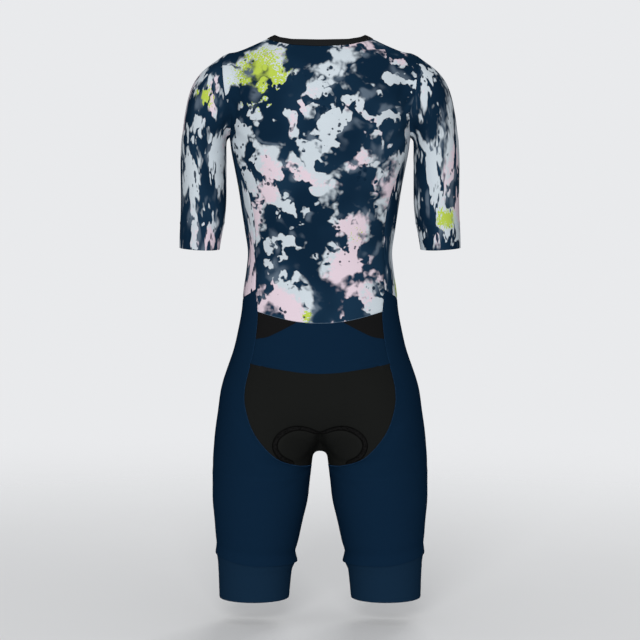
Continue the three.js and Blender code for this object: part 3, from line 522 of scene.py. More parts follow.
def cloth_shell(name, panel, lift, material, thickness=CLOTH, marks=None, reverse=None):
    """A closed thin shell of cloth on a panel's grid, with its flat cloth's places as its UV map."""
    points, normals = panel.points, panel.normals
    lift = np.broadcast_to(lift, points.shape[:2])
    u, v = panel.cut_places()
    if panel.ring:
        points, normals, lift = points[:, :-1], normals[:, :-1], lift[:, :-1]
    rows, columns = lift.shape
    outer = points + normals * lift[..., None]
    inner = outer - normals * np.broadcast_to(thickness, (rows, 1))[..., None]
    number = np.arange(rows * columns).reshape(rows, columns)
    beside = np.roll(number, -1, axis=1) if panel.ring else number[:, 1:]
    here = number if panel.ring else number[:, :-1]
    faces = np.stack([here[:-1], here[1:], beside[1:], beside[:-1]], axis=-1).reshape(-1, 4)
    middle = faces[len(faces) // 2]
    flat = outer.reshape(-1, 3)
    facing = np.cross(flat[middle[1]] - flat[middle[0]], flat[middle[2]] - flat[middle[0]])
    turned = facing @ normals.reshape(-1, 3)[middle[0]] < 0
    if turned:
        faces = faces[:, ::-1]
    count = rows * columns
    rims = [(beside[0], here[0]), (here[-1], beside[-1])]
    if not panel.ring:
        rims += [(number[:-1, 0], number[1:, 0]), (number[1:, -1], number[:-1, -1])]
    rim_faces = []
    for a, b in rims:
        rim = np.stack([a, b, b + count, a + count], axis=-1)
        rim_faces.append(rim[:, ::-1] if turned else rim)
    every = np.vstack([faces, faces[:, ::-1] + count, *rim_faces])
    mesh = bpy.data.meshes.new(name)
    mesh.from_pydata(np.vstack([flat, inner.reshape(-1, 3)]) * MM, [], every.tolist())
    uv = mesh.uv_layers.new(name="cut")
    if panel.ring:
        corner_u = wrapped_places(u, every, count, columns)
    else:
        corner_u = np.tile(u.ravel(), 2)[every.ravel()]
    v_all = np.tile(v[:, :columns].ravel(), 2)
    corners = np.stack([corner_u, v_all[every.ravel()]], -1) * MM
    uv.data.foreach_set("uv", corners.ravel().astype(np.float32))
    for mark, values in (marks or {}).items():
        layer = mesh.attributes.new(mark, "FLOAT", "POINT")
        shown = np.broadcast_to(values, (rows, values.shape[1]))[:, :columns]
        layer.data.foreach_set("value", np.tile(shown.ravel(), 2).astype(np.float32))
    mesh.polygons.foreach_set("use_smooth", [True] * len(every))
    sharp = mesh.attributes.new("sharp_face", "BOOLEAN", "FACE")
    sharp.data.foreach_set("value", np.arange(len(every)) >= 2 * len(faces))
    mesh.materials.append(material)
    if reverse:
        mesh.materials.append(reverse)
        inside = (np.arange(len(every)) // len(faces) == 1).astype(np.int32)
        mesh.polygons.foreach_set("material_index", inside)
    mesh.update()
    return placed(name, mesh)


def wrapped_places(u, every, count, columns):
    # On a tube the faces that close the ring take the places past the last column
    column = (every % count) % columns
    row = (every % count) // columns
    closing = (column.max(axis=1) - column.min(axis=1) > 1)[:, None] & (column == 0)
    return u[row, np.where(closing, columns, column)].ravel()


def tone(code):
    # The linear colour of a swatch's code
    swatch = np.array([int(code[i : i + 2], 16) / 255 for i in (0, 2, 4)])
    linear = np.where(swatch <= 0.04045, swatch / 12.92, ((swatch + 0.055) / 1.055) ** 2.4)
    return (*linear, 1)


KNIT_RELIEF = 0.2
LOOP_WAVE = 0.35
LOOP_LEVEL = -0.2
LOOP_EDGE = 0.3
YARN_GRAIN = 0.5
YARN_UNEVEN = 0.6


class Finish:
    """A material's recipe: each call adds a node and returns its first output."""

    def __init__(self, name, roughness, sheen=0.0, metallic=0.0, specular=0.5):
        self.material = bpy.data.materials.new(name)
        self.material.use_nodes = True
        self.tree = self.material.node_tree
        self.shader = self.tree.nodes["Principled BSDF"]
        self.shader.inputs["Roughness"].default_value = roughness
        self.shader.inputs["Metallic"].default_value = metallic
        self.shader.inputs["Sheen Weight"].default_value = sheen
        self.shader.inputs["Sheen Roughness"].default_value = 0.5
        self.shader.inputs["Specular IOR Level"].default_value = specular

    def put(self, socket, value):
        if isinstance(value, bpy.types.NodeSocket):
            self.tree.links.new(value, socket)
        else:
            socket.default_value = value

    def add(self, kind, inputs, out=0, **settings):
        node = self.tree.nodes.new(kind)
        for key, value in settings.items():
            setattr(node, key, value)
        for key, value in inputs.items():
            self.put(node.inputs[key], value)
        return node.outputs[out]

    def maths(self, operation, *values):
        return self.add("ShaderNodeMath", dict(enumerate(values)), operation=operation)

    def plus(self, *values):
        return self.maths("ADD", *values)

    def less(self, *values):
        return self.maths("SUBTRACT", *values)

    def times(self, *values):
        return self.maths("MULTIPLY", *values)

    def noise(self, places, scale, detail=2.0, rough=0.5, twist=0.0):
        return self.add("ShaderNodeTexNoise", {
            "Vector": places, "Scale": scale, "Detail": detail, "Roughness": rough, "Distortion": twist,
        })

    def between(self, value, start, end, low, high):
        # A value's share of the way from its start to its end, as a share of the way from low to high
        return self.add("ShaderNodeMapRange", {
            "Value": value, "From Min": start, "From Max": end, "To Min": low, "To Max": high,
        })

    def mask(self, value, level, width):
        # 0 below the level and 1 above it, with an edge of that half width
        inputs = {"Value": value, "From Min": self.less(level, width), "From Max": self.plus(level, width)}
        return self.add("ShaderNodeMapRange", inputs, interpolation_type="SMOOTHSTEP")

    def mix(self, share, under, over):
        node = self.tree.nodes.new("ShaderNodeMix")
        node.data_type = "RGBA"
        for socket, value in ((0, share), (6, under), (7, over)):
            self.put(node.inputs[socket], value)
        return node.outputs[2]

    def body_places(self, shift=(0, 0, 0), scale=(1, 1, 1)):
        places = self.add("ShaderNodeTexCoord", {}, 3)
        return self.add("ShaderNodeMapping", {"Vector": places, "Location": shift, "Scale": scale})

    def cut_places(self):
        return self.add("ShaderNodeUVMap", {}, uv_map="cut")

    def clouded(self, scale, detail, under, over):
        return self.mix(self.noise(self.body_places(), scale, detail), tone(under), tone(over))

    def bump(self, height, strength, distance):
        rise = self.add("ShaderNodeBump", {"Height": height, "Strength": strength, "Distance": distance * MM})
        self.put(self.shader.inputs["Normal"], rise)

    def knit(self, wale, course, depth, grain=YARN_GRAIN):
        # Rows of knitted loops: chevrons in columns, with a little uneven yarn
        places = self.cut_places()
        across = self.add("ShaderNodeSeparateXYZ", {"Vector": places}, 0)
        down = self.add("ShaderNodeSeparateXYZ", {"Vector": places}, 1)
        column = self.maths("FRACT", self.times(across, 1 / (wale * MM)))
        lean = self.maths("ABSOLUTE", self.less(column, 0.5))
        turn = self.times(down, 2 * np.pi / (course * MM))
        wave = self.maths("SINE", self.plus(turn, self.times(lean, 2 * np.pi)))
        ridge = self.less(self.times(wave, LOOP_WAVE), self.maths("POWER", lean, 2.0))
        yarn = self.noise(places, 1 / (grain * MM), 2.0)
        self.bump(self.plus(ridge, self.times(yarn, YARN_UNEVEN)), depth, KNIT_RELIEF)
        return ridge

    def on_loops(self, ridge):
        # 0 in the hollows between the loops and 1 on them
        return self.mask(ridge, LOOP_LEVEL, LOOP_EDGE)

    def colour(self, value):
        self.put(self.shader.inputs["Base Color"], value)

    def rough(self, value):
        self.put(self.shader.inputs["Roughness"], value)


MATTE_GLOSS = 0.0  # stretched knit shows almost no shine
KNIT_ROUGH = 0.62
PRINT_LOOPS = (1.1, 0.9, 0.35)  # the knit's wale, course and depth
NAVY_GROUND = "11283D"
WORN_NAVY = "1C364D"
ICE = "DDE7EE"
ICE_SHADE = "D0DBE3"
PINK = "F5D9E5"
LIME = "C4DA56"
SMOKE = "7B8B9B"
NOISE_MIDDLE = 0.5
HEM_THREAD = "7F97AC"
PRINT_NOISES = {
    # how many to a metre, detail, roughness and twist
    "blotch": (18.5, 3.0, 0.5, 0.35),
    "fringe": (62.0, 2.0),
    "speck": (190.0, 2.0),
    "soft": (11.0, 1.0),
    "island": (40.0, 2.0, 0.5, 0.2),
    "smoke": (36.0, 1.0, 0.4, 0.2),
    "pink": (9.5, 2.0, 0.5, 0.3),
    "spray": (330.0, 2.0),
    "dot": (27.0, 2.0),
    "worn": (9.0, 2.0),
    "ice": (20.0, 2.0),
}
HOLE_NOISE = (50.0, 2.0, 0.5, 0.2)
HOLE_SHIFT = (0.4, 0.7, 0.1)
DOTS_TO_METRE = 95.0
PRINT_EDGES = {
    # the level at which each kind of mark begins, and the half width of its edge
    "hole": (0.64, 0.02),
    "smoke": (0.64, 0.09),
    "pink": (0.578, 0.04),
    "splatter": (0.36, 0.05),
    "lime": (0.06, 0.04),
    "dot": (0.0, 0.05),
    "worn": (0.52, 0.14),
    "hem": (0.75, 0.25),
}
ISLAND_LEVEL = 0.61
ISLAND_SOFTNESS = 1.2
AROUND_BLOTCH = (-0.12, 0.05)  # from the blotches' own level, and the edge's half width
DEEP_IN_BLOTCH = (0.09, 0.04)
SOFTNESS = (0.49, 0.65, 0.011, 0.062)  # from and to, and the edges' half widths there
DOT_SIZES = (0.5, 0.72, 0.0, 0.42)
FRINGE_SHARE = 0.2
LIME_SHARE = 0.13
RAGGED_PINK = 0.22
SPRAY_SHARE = 2.1
SMOKE_SHARE = 0.6
PINK_SHARE = 0.75
DOT_SHARE = 0.92
HEM_SHARE = 0.45
PAINTED_HOLLOW_SHADE_SHARE = 0.1


def printed_knit(name, shift, scale, light_level, lime_spots, hem=False):
    """Blotches of ice, pink and lime on a navy ground, in a design of this part's own, with painted shade in
    the knit's hollows.
    """
    finish = Finish(name, KNIT_ROUGH, specular=MATTE_GLOSS)
    places = finish.body_places(shift, scale)

    def noise(kind):
        return finish.noise(places, *PRINT_NOISES[kind])

    def uneven(kind):
        return finish.less(noise(kind), NOISE_MIDDLE)

    def marked(kind, value):
        return finish.mask(value, *PRINT_EDGES[kind])

    lime = 0.0
    for x, y, z, radius in lime_spots:
        middle = {0: finish.body_places(), 1: (x * MM, y * MM, z * MM)}
        away = finish.add("ShaderNodeVectorMath", middle, 1, operation="DISTANCE")
        lime = finish.maths("MAXIMUM", lime, finish.less(1.0, finish.times(away, 1 / (radius * MM))))
    fringe = uneven("fringe")
    blotch = finish.plus(noise("blotch"), finish.times(fringe, FRINGE_SHARE))
    blotch = finish.plus(blotch, finish.times(lime, LIME_SHARE))
    width = finish.between(noise("soft"), *SOFTNESS)
    light = finish.mask(blotch, light_level, width)
    near_blotch = finish.mask(blotch, light_level + AROUND_BLOTCH[0], AROUND_BLOTCH[1])
    island = finish.mask(noise("island"), ISLAND_LEVEL, finish.times(width, ISLAND_SOFTNESS))
    light = finish.maths("MAXIMUM", light, finish.times(island, near_blotch))
    deep = finish.mask(blotch, light_level + DEEP_IN_BLOTCH[0], DEEP_IN_BLOTCH[1])
    hole = marked("hole", finish.noise(finish.body_places(HOLE_SHIFT, scale), *HOLE_NOISE))
    hole = finish.times(hole, finish.less(1.0, deep))
    light = finish.less(light, finish.times(hole, light))
    smoke = finish.times(marked("smoke", noise("smoke")), near_blotch)
    ragged = finish.times(uneven("speck"), RAGGED_PINK)
    pink = marked("pink", finish.plus(noise("pink"), ragged))
    spray = finish.times(uneven("spray"), SPRAY_SHARE)
    splatter = marked("splatter", finish.plus(lime, finish.plus(spray, fringe)))
    splatter = finish.times(splatter, marked("lime", lime))
    dots = finish.add("ShaderNodeTexVoronoi", {"Vector": places, "Scale": DOTS_TO_METRE, "Randomness": 1.0})
    dotted = marked("dot", finish.less(finish.between(noise("dot"), *DOT_SIZES), dots))
    ground = finish.mix(marked("worn", noise("worn")), tone(NAVY_GROUND), tone(WORN_NAVY))
    ground = finish.mix(finish.times(smoke, SMOKE_SHARE), ground, tone(SMOKE))
    pale = finish.mix(noise("ice"), tone(ICE), tone(ICE_SHADE))
    pale = finish.mix(finish.times(pink, PINK_SHARE), pale, tone(PINK))
    pale = finish.mix(splatter, pale, tone(LIME))
    shown = finish.mix(light, ground, pale)
    shown = finish.mix(finish.times(dotted, DOT_SHARE), shown, tone(NAVY_GROUND))
    if hem:
        edge = finish.less(1.0, marked("hem", finish.add("ShaderNodeAttribute", {}, 2, attribute_name="hem")))
        shown = finish.mix(finish.times(edge, HEM_SHARE), shown, tone(HEM_THREAD))
    # Painted shade: the hollows between the knit's loops are darkened towards the navy ground.
    painted_hollow_shade = finish.less(1.0, finish.on_loops(finish.knit(*PRINT_LOOPS)))
    finish.colour(finish.mix(finish.times(painted_hollow_shade, PAINTED_HOLLOW_SHADE_SHARE), shown, tone(NAVY_GROUND)))
    return finish.material


REVERSE_ROUGH = 0.8
REVERSE_CLOUDS = (15.0, 3.0)
REVERSE_EDGE = (0.5, 0.08)
PALE_REVERSE = "C9CED3"
DYED_REVERSE = "A9B2BB"


def reverse_knit(name):
    # The unprinted inner face of the cloth, where only a little dye has come through
    finish = Finish(name, REVERSE_ROUGH, specular=MATTE_GLOSS)
    bare = finish.mask(finish.noise(finish.body_places(), *REVERSE_CLOUDS), *REVERSE_EDGE)
    finish.knit(*PRINT_LOOPS)
    finish.colour(finish.mix(bare, tone(DYED_REVERSE), tone(PALE_REVERSE)))
    return finish.material


print_reverse = reverse_knit("print_reverse")
BACK_LIME = [(-98, -80, -62, 66), (66, -98, -330, 26), (-20, -82, -464, 14)]
back_print = printed_knit(
    "printed_back", shift=(0.31, 0.12, 0.52), scale=(1, 1, 1),
    light_level=0.525, lime_spots=BACK_LIME, hem=True,
)

# The back panel's seams, drawn on the +X side
NECKLINE = [
    # angle round the neck from the middle of the back, z
    (0, -13.5), (40, -11), (52, -8), (64, -5), (76, -2), (90, -0.5),
    (105, -4), (120, -12), (135, -24), (150, -37), (165, -46), (180, -49),
]
NECK_SIDE = 5  # the neckline's row at the shoulder
ARMHOLE_BACK = [
    (160, -9, -32), (163, -30, -38), (163, -44, -48), (161, -58, -70), (158, -61, -92),
    (152, -57, -115), (149.5, -46, -135), (150, -32, -151), (151.5, -20, -161.5),
]
SHOULDER_MIDDLE = (125, -8, -13)
SIDE_BACK = [
    (144.5, -193), (132, -225), (120.5, -256), (112.6, -286),
    (109, -317), (107.6, -366), (108.4, -405), (108.8, -420),
]
PRINT_LOW_SIDE = [(107, -440), (105, -457)]
PRINT_HEM_SIDE = [(75, -464.5), (52, -469.3), (40, -471.3)]
PRINT_HEM_MIDDLE = [(20, -473.3), (0, -474)]
MIDDLE_BACK_Z = [-60, -130, -200, -270, -340, -400, -440]
COARSE = 3  # fine faces to each step of a panel's first grid


def torso_axis(z):
    return 0 * z, column(torso_form, "mid", z)


def torso_points(rows):
    rows = np.array(rows, float)
    return around(np.radians(rows[:, 0]), rows[:, 1], 0, column(torso_form, "mid", rows[:, 1]))


neck_points = torso_points(NECKLINE)
neck_side = neck_points[NECK_SIDE]
armhole_points = settle(ARMHOLE_BACK, LAYING_TURNS)
shoulder = seam(neck_side, settle([SHOULDER_MIDDLE], LAYING_TURNS), armhole_points[:1])
neck_back = seam(neck_points[: NECK_SIDE + 1])
armhole_back = seam(armhole_points)
side_back = seam(armhole_points[-1:], on_back(SIDE_BACK))
print_low = seam(side_back[-1:], on_back(PRINT_LOW_SIDE))
hem_side = seam(print_low[-1:], on_back(PRINT_HEM_SIDE))
hem_middle = seam(hem_side[-1:], on_back(PRINT_HEM_MIDDLE))
middle_back = seam(neck_back[:1], on_back([(0, z) for z in MIDDLE_BACK_Z]), hem_middle[-1:])

back_edges = (
    [(neck_back, 16)],
    [(hem_middle[::-1], 6), (hem_side[::-1], 10)],
    [(middle_back, 64)],
    [(shoulder, 9), (armhole_back, 18), (side_back, 33), (print_low, 4)],
)
back = Panel(patch(*back_edges, torso_axis), COARSE, back_edges, whole=True)


def hem_marks(panel, side):
    return {"hem": panel.from_edges()["tblr".index(side)]}


def sew_on(piece, node):
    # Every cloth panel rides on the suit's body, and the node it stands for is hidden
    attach(piece, "suit")
    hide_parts(node)


back_piece = cloth_shell(
    "printed_back", back, rolled_edges(back) + creased(back.points), back_print,
    marks=hem_marks(back, "b"), reverse=print_reverse,
)
sew_on(back_piece, "back_panel")

# Front panels
# Two printed fronts meet at the zip. The photo doesn't show them, so they are cut plainly,
# from the same knit as the back, with a lower neck.
ARMHOLE_FRONT = [
    (151.5, 12, -161), (150.5, 25, -149), (149.5, 37, -134), (149, 44, -115), (150, 46, -92),
    (155, 43, -70), (160, 30, -49), (161, 8, -36), (160, -9, -32),
]
SIDE_FRONT = [(141, -205), (130, -245), (121, -290), (115, -340), (112, -400)]
WAIST_FRONT = (110, -452)
LEG_TOP_FRONT = [(80, -461), (40, -468)]
ZIP_TAPE = 6.5  # half of the zip's width between the fronts
ZIP_EDGE_Z = [-75, -110, -160, -210, -260, -310, -360, -420]
ZIP_FOOT_Z = -470

zip_top = on_front((ZIP_TAPE, NECKLINE[-1][1]))
zip_foot = on_front((ZIP_TAPE, ZIP_FOOT_Z))
waist_front = on_front(WAIST_FRONT)
armhole_front = seam(settle(ARMHOLE_FRONT, LAYING_TURNS))
neck_front = seam(neck_points[NECK_SIDE:-1], zip_top)
side_front = seam(armhole_front[:1], on_front(SIDE_FRONT), waist_front)
leg_top_front = seam(waist_front, on_front(LEG_TOP_FRONT), zip_foot)
zip_edge = seam(zip_top, on_front([(ZIP_TAPE, z) for z in ZIP_EDGE_Z]), zip_foot)

front_edges = (
    [(neck_front[::-1], 16)],
    [(leg_top_front[::-1], 16)],
    [(zip_edge, 60)],
    [(shoulder, 9), (armhole_front[::-1], 18), (side_front, 33)],
)
front = Panel(patch(*front_edges, torso_axis), COARSE, front_edges)
FRONT_LIME = [(85, 85, -75, 45), (-60, 105, -300, 30), (90, 75, -410, 22)]
front_print = printed_knit(
    "printed_front", shift=(0.85, 0.4, 0.2), scale=(1, 1, 1), light_level=0.525, lime_spots=FRONT_LIME,
)
ZIP_PUCKER = 0.35  # the cloth ripples a little along the zip
ZIP_PUCKER_LENGTH = 17
ZIP_PUCKER_REACH = 12


def zip_pucker(panel):
    near = np.exp(-((np.abs(panel.points[..., 0]) - ZIP_TAPE) / ZIP_PUCKER_REACH))
    return ZIP_PUCKER * near * np.sin(panel.points[..., 2] * 2 * np.pi / ZIP_PUCKER_LENGTH)


for side, panel in front.pair():
    lift = rolled_edges(panel) + creased(panel.points) + zip_pucker(panel)
    piece = cloth_shell(f"printed_front_{side}", panel, lift, front_print, reverse=print_reverse)
    sew_on(piece, f"front_panel_{side}")

# Side panels
# A narrow printed piece runs from under each arm to the waist, and widens over the hip.
# Its print is drawn out lengthwise, as where a printed cloth is stretched.
ARMHOLE_BOTTOM = [(151.5, -20, -161.5), (152.3, -4, -166.5), (151.5, 12, -161)]
LEG_TOP_SIDE = [(118, -36, -427), (125, -25, -432), (131, 3, -440), (124, 42, -448)]

armhole_bottom = seam(settle(ARMHOLE_BOTTOM, LAYING_TURNS))
leg_top_side = seam(side_back[-1:], settle(LEG_TOP_SIDE, LAYING_TURNS), waist_front)
side_edges = (
    [(armhole_bottom, 14)],
    [(leg_top_side, 14)],
    [(side_back, 36)],
    [(side_front, 36)],
)
side_panel = Panel(patch(*side_edges, torso_axis), COARSE, side_edges)
SIDE_LIME = [(128, 0, -420, 24), (-130, -10, -250, 20)]
side_print = printed_knit(
    "printed_side", shift=(0.2, 0.9, 0.35), scale=(3.0, 2.0, 0.5), light_level=0.52, lime_spots=SIDE_LIME,
)
for side, panel in side_panel.pair():
    lift = rolled_edges(panel) + creased(panel.points)
    piece = cloth_shell(f"printed_side_{side}", panel, lift, side_print, reverse=print_reverse)
    sew_on(piece, f"side_panel_{side}")

# Sleeves
# Each printed sleeve is a tube set into its armhole and ends above the elbow in a raw-cut hem.
# A silicone gripper is bonded inside the hem, and its upper edge shows as a faint ridge.
SLEEVE_HEM_Z = -354.5
SLEEVE_HEM_TILT = 1.5
SLEEVE_ROWS = 30
SLEEVE_START = 1.1  # how strongly it leaves the armhole outwards and down
SMOOTHING = 10
GRIPPER_TAPE_Z = -311
GRIPPER_TAPE_RIDGE = 0.7
GRIPPER_TAPE_ROUND = 2.5

armhole_ring = [(armhole_back, 22), (armhole_bottom, 8), (armhole_front, 22)]
ring_steps = steps_in(armhole_ring)
armhole = edge_at(armhole_ring, np.arange(ring_steps + 1.0))
turn = np.linspace(0, 2 * np.pi, ring_steps + 1)
hem_z = SLEEVE_HEM_Z + SLEEVE_HEM_TILT * np.cos(turn)
hem_half = column(sleeve_form, "half", hem_z)
hem_middle_y = (column(sleeve_form, "back", hem_z) + column(sleeve_form, "front", hem_z)) / 2


def smooth_step(value):
    value = np.clip(value, 0, 1)
    return value * value * (3 - 2 * value)


sleeve_hem = np.stack([
    column(sleeve_form, "x", hem_z) + hem_half * np.cos(turn),
    hem_middle_y - hem_half * np.sin(turn),
    hem_z,
], axis=-1)
reach = np.linalg.norm(sleeve_hem - armhole, axis=1)[None, :, None]
t = np.linspace(0, 1, SLEEVE_ROWS + 1)[:, None, None]
share = smooth_step(t)
sleeve_grid = armhole * (1 - share) + sleeve_hem * share
sleeve_grid = sleeve_grid + reach * SLEEVE_START * t * (1 - t) ** 2 * np.array([1.0, 0, -1.0])
sleeve_grid = sleeve_grid + reach * t * t * (t - 1) * np.array([0, 0, -1.0])
sleeve_grid[1:] = settle(sleeve_grid[1:], FILLING_TURNS)
for _ in range(SMOOTHING):
    ring = sleeve_grid[:, :-1]
    middle = (np.roll(ring, 1, 1) + np.roll(ring, -1, 1))[1:-1] + ring[:-2] + ring[2:]
    ring[1:-1] = settle(middle / 4, NEAR_TURNS)
    sleeve_grid[:, -1] = sleeve_grid[:, 0]
sleeve = Panel(sleeve_grid, COARSE, ring=True)
sleeve.points[0] = edge_at(armhole_ring, sleeve.across)
SLEEVE_LIME = [(-196, -58, -100, 26), (212, -40, -300, 24), (165, 35, -60, 26), (-185, 30, -330, 26)]
sleeve_print = printed_knit(
    "printed_sleeve", shift=(0.55, 0.1, 0.77), scale=(1.8, 1.5, 0.58),
    light_level=0.556, lime_spots=SLEEVE_LIME,
)
for side, panel in sleeve.pair():
    tape = hump(panel.points[..., 2] - GRIPPER_TAPE_Z, GRIPPER_TAPE_ROUND)
    lift = rolled_edges(panel, "t") + creased(panel.points) + GRIPPER_TAPE_RIDGE * tape
    piece = cloth_shell(f"printed_sleeve_{side}", panel, lift, sleeve_print, reverse=print_reverse)
    sew_on(piece, f"sleeve_{side}")

# Back wedges
# Two black mesh-knit wedges fill the gap between the print's hem and the waist yoke, for cooling.
# Each is overlocked on three sides and runs to a point towards the middle.
WEDGE_SIDE = [(106, -480), (108.4, -502)]
WEDGE_CURVE = [(88.5, -497.5), (68.4, -488), (55, -481), (41, -473.4)]

wedge_side = seam(print_low[-1:], on_back(WEDGE_SIDE))
wedge_curve = seam(wedge_side[-1:], on_back(WEDGE_CURVE))
wedge_tip = seam(hem_side[-1:], wedge_curve[-1:])
wedge_edges = ([(hem_side, 16)], [(wedge_curve, 16)], [(wedge_side, 10)], [(wedge_tip, 10)])
wedge = Panel(patch(*wedge_edges, None), COARSE, wedge_edges)

KNIT_CLOUDS = (30.0, 3.0)
WEAR_SCALE = 60.0
WEAR = 0.07


def plain_knit(name, colour, worn, painted_loop_highlight, roughness, wale=1.1, course=0.9, depth=0.4):
    """Cloth of one dyed colour, a little uneven, with its knit's loops, whose tops carry a painted highlight.
    """
    finish = Finish(name, roughness, specular=MATTE_GLOSS)
    loops = finish.on_loops(finish.knit(wale, course, depth))
    # Painted highlight: the loops' tops are mixed towards a lighter tone, as if lit.
    finish.colour(finish.mix(loops, finish.clouded(*KNIT_CLOUDS, colour, worn), tone(painted_loop_highlight)))
    wear = finish.noise(finish.body_places(), WEAR_SCALE)
    finish.rough(finish.between(wear, 0, 1, roughness - WEAR, roughness + WEAR))
    return finish.material


black_knit = plain_knit("black_knit", "141414", "171717", "1C1C1D", roughness=0.75)
for side, panel in wedge.pair():
    piece = cloth_shell(f"black_wedge_{side}", panel, rolled_edges(panel), black_knit)
    sew_on(piece, f"back_wedge_{side}")

# Waist yoke
# A navy band across the small of the back, cut double-curved to hold the seat up.
# It is a smooth, dense knit, sewn to the print's hem, the wedges, the legs and the seat.
YOKE_SIDE = [(112, -522), (117, -541.5)]
SEAT_TOP = [(107, -543.5), (94, -545.8), (81, -547.9), (66.5, -549.9), (33, -554.2), (0, -555.8)]
MIDDLE_YOKE_Z = -515

yoke_side = seam(wedge_side[-1:], on_back(YOKE_SIDE))
seat_top = seam(yoke_side[-1:], on_back(SEAT_TOP))
middle_yoke = seam(hem_middle[-1:], on_back((0, MIDDLE_YOKE_Z)), seat_top[-1:])
yoke_edges = (
    [(hem_middle[::-1], 8), (wedge_tip, 1), (wedge_curve[::-1], 12)],
    [(seat_top[::-1], 21)],
    [(middle_yoke, 12)],
    [(yoke_side, 12)],
)
yoke = Panel(patch(*yoke_edges, None), COARSE, yoke_edges, whole=True)
navy_knit = plain_knit(
    "navy_knit", "0E2337", "0C2135", "11283F", roughness=0.6, wale=0.9, course=0.7, depth=0.25,
)
yoke_piece = cloth_shell("waist_yoke_cloth", yoke, rolled_edges(yoke), navy_knit)
sew_on(yoke_piece, "waist_yoke")

# Seat panel
# A black abrasion-proof knit covers the pad and runs between the legs to a short front edge.
# The pad's two lobes press it out, and the stitching round them draws it in as a channel.
SEAT_SIDE = [
    (122.8, -90, -566), (125.8, -98, -586), (125.8, -105, -605.5), (121.8, -112, -625.5),
    (114.6, -117, -646.5), (101.7, -118, -668), (86.5, -114, -686.5), (71.7, -106, -700),
    (55, -96, -708.5), (36, -78, -715), (22, -52, -718.5), (13, -14, -722),
]
GUSSET_FRONT = [(15, 12, -718), (20, 36, -706), (19, 54, -686), (11, 68, -660), (4, 76, -640)]
MIDDLE_UNDER = [
    (0, -116, -585), (0, -115, -615), (0, -106, -645), (0, -88, -668),
    (0, -60, -688), (0, -20, -700), (0, 25, -693), (0, 55, -670),
]
PAD_LOBE = {"x": 43, "z": -679, "wide": 36, "tall": 33, "rim": 0.45, "raised": 3, "front": -38, "fade": 35}
CHANNEL = [
    (0, -659), (6, -656.5), (20, -650.5), (38, -647.5), (58, -653),
    (71, -664), (75, -678), (68, -694), (52, -706), (34, -713),
]
CHANNEL_PARTS = 130
CHANNEL_END = 48  # where it begins to run out below each lobe
CHANNEL_END_REACH = 10
CHANNEL_END_Z = -695
CHANNEL_FADE = 7
CHANNEL_WIDTH = 4.2
CHANNEL_DEPTH = 2.0
CLEFT_DEPTH = 9.5
CLEFT_WIDTH = 8
CLEFT_TOP_Z = -652
CLEFT_TOP_FADE = 20
CLEFT_END_Y = -24
CLEFT_END_FADE = 35
SEAT_FINE = 4
RELAX_TURNS = 12
EVEN_TURNS = 3
NORMAL_TURNS = 40

seat_side = seam(yoke_side[-1:], settle(SEAT_SIDE, LAYING_TURNS))
gusset = seam(seat_side[-1:], settle(GUSSET_FRONT, LAYING_TURNS))
middle_foot = on_front((0, gusset[-1][2]))
middle_under = seam(seat_top[-1:], settle(MIDDLE_UNDER, LAYING_TURNS), middle_foot)
front_end = seam(middle_foot, gusset[-1:])
seat_edges = (
    [(seat_top[::-1], 21)],
    [(front_end, 21)],
    [(middle_under, 66)],
    [(seat_side, 46), (gusset, 20)],
)


def relaxed(grid, turns, on_form=True):
    # Evens out a panel's grid between its edges, which stay where they are
    for _ in range(turns):
        middle = (grid[:-2, 1:-1] + grid[2:, 1:-1] + grid[1:-1, :-2] + grid[1:-1, 2:]) / 4
        grid[1:-1, 1:-1] = settle(middle, NEAR_TURNS) if on_form else middle
    return grid


def evened(normals, turns):
    # The kinks of the form's own normals taken out
    normals = relaxed(normals, turns, on_form=False)
    return normals / np.linalg.norm(normals, axis=-1, keepdims=True)


half_seat = relaxed(patch(*seat_edges, None), RELAX_TURNS)
seat_grid = relaxed(made_whole(half_seat), EVEN_TURNS, on_form=False)[:, half_seat.shape[1] - 1 :]
seat = Panel(seat_grid, SEAT_FINE, seat_edges, whole=True)
seat.normals = evened(seat.normals, NORMAL_TURNS)


def pad_lift(points):
    across = (np.abs(points[..., 0]) - PAD_LOBE["x"]) / PAD_LOBE["wide"]
    far = np.hypot(across, (points[..., 2] - PAD_LOBE["z"]) / PAD_LOBE["tall"])
    on_seat = smooth_step((PAD_LOBE["front"] - points[..., 1]) / PAD_LOBE["fade"])
    return PAD_LOBE["raised"] * on_seat * smooth_step((1 - far) / PAD_LOBE["rim"])


def channel_distance(points):
    line = seam(on_back(CHANNEL))
    off = np.stack([np.abs(points[..., 0]), points[..., 1], points[..., 2]], axis=-1)
    away = np.full(points.shape[:-1], np.inf)
    for spot in evenly(line, CHANNEL_PARTS):
        away = np.minimum(away, np.linalg.norm(off - spot, axis=-1))
    fading = smooth_step((CHANNEL_END - off[..., 0]) / CHANNEL_END_REACH) * (off[..., 2] < CHANNEL_END_Z)
    return away + CHANNEL_FADE * fading


def seat_lift(points):
    channel = channel_distance(points)
    below = smooth_step((CLEFT_TOP_Z - points[..., 2]) / CLEFT_TOP_FADE)
    behind = smooth_step((CLEFT_END_Y - points[..., 1]) / CLEFT_END_FADE)
    cleft = CLEFT_DEPTH * below * behind * hump(points[..., 0], CLEFT_WIDTH)
    return pad_lift(points) - CHANNEL_DEPTH * hump(channel, CHANNEL_WIDTH) - cleft, channel


SEAT_ROUGH = 0.7
SEAT_LOOPS = (1.2, 1.0, 0.45)
CHANNEL_EDGE = (4.6, 0.9)  # how far from its middle the channel ends, and the edge's half width
STITCH_LINE = (3.2, 0.9)
HOLES_TO_METRE = 520.0
HOLE_EDGE = (0.38, 0.12)

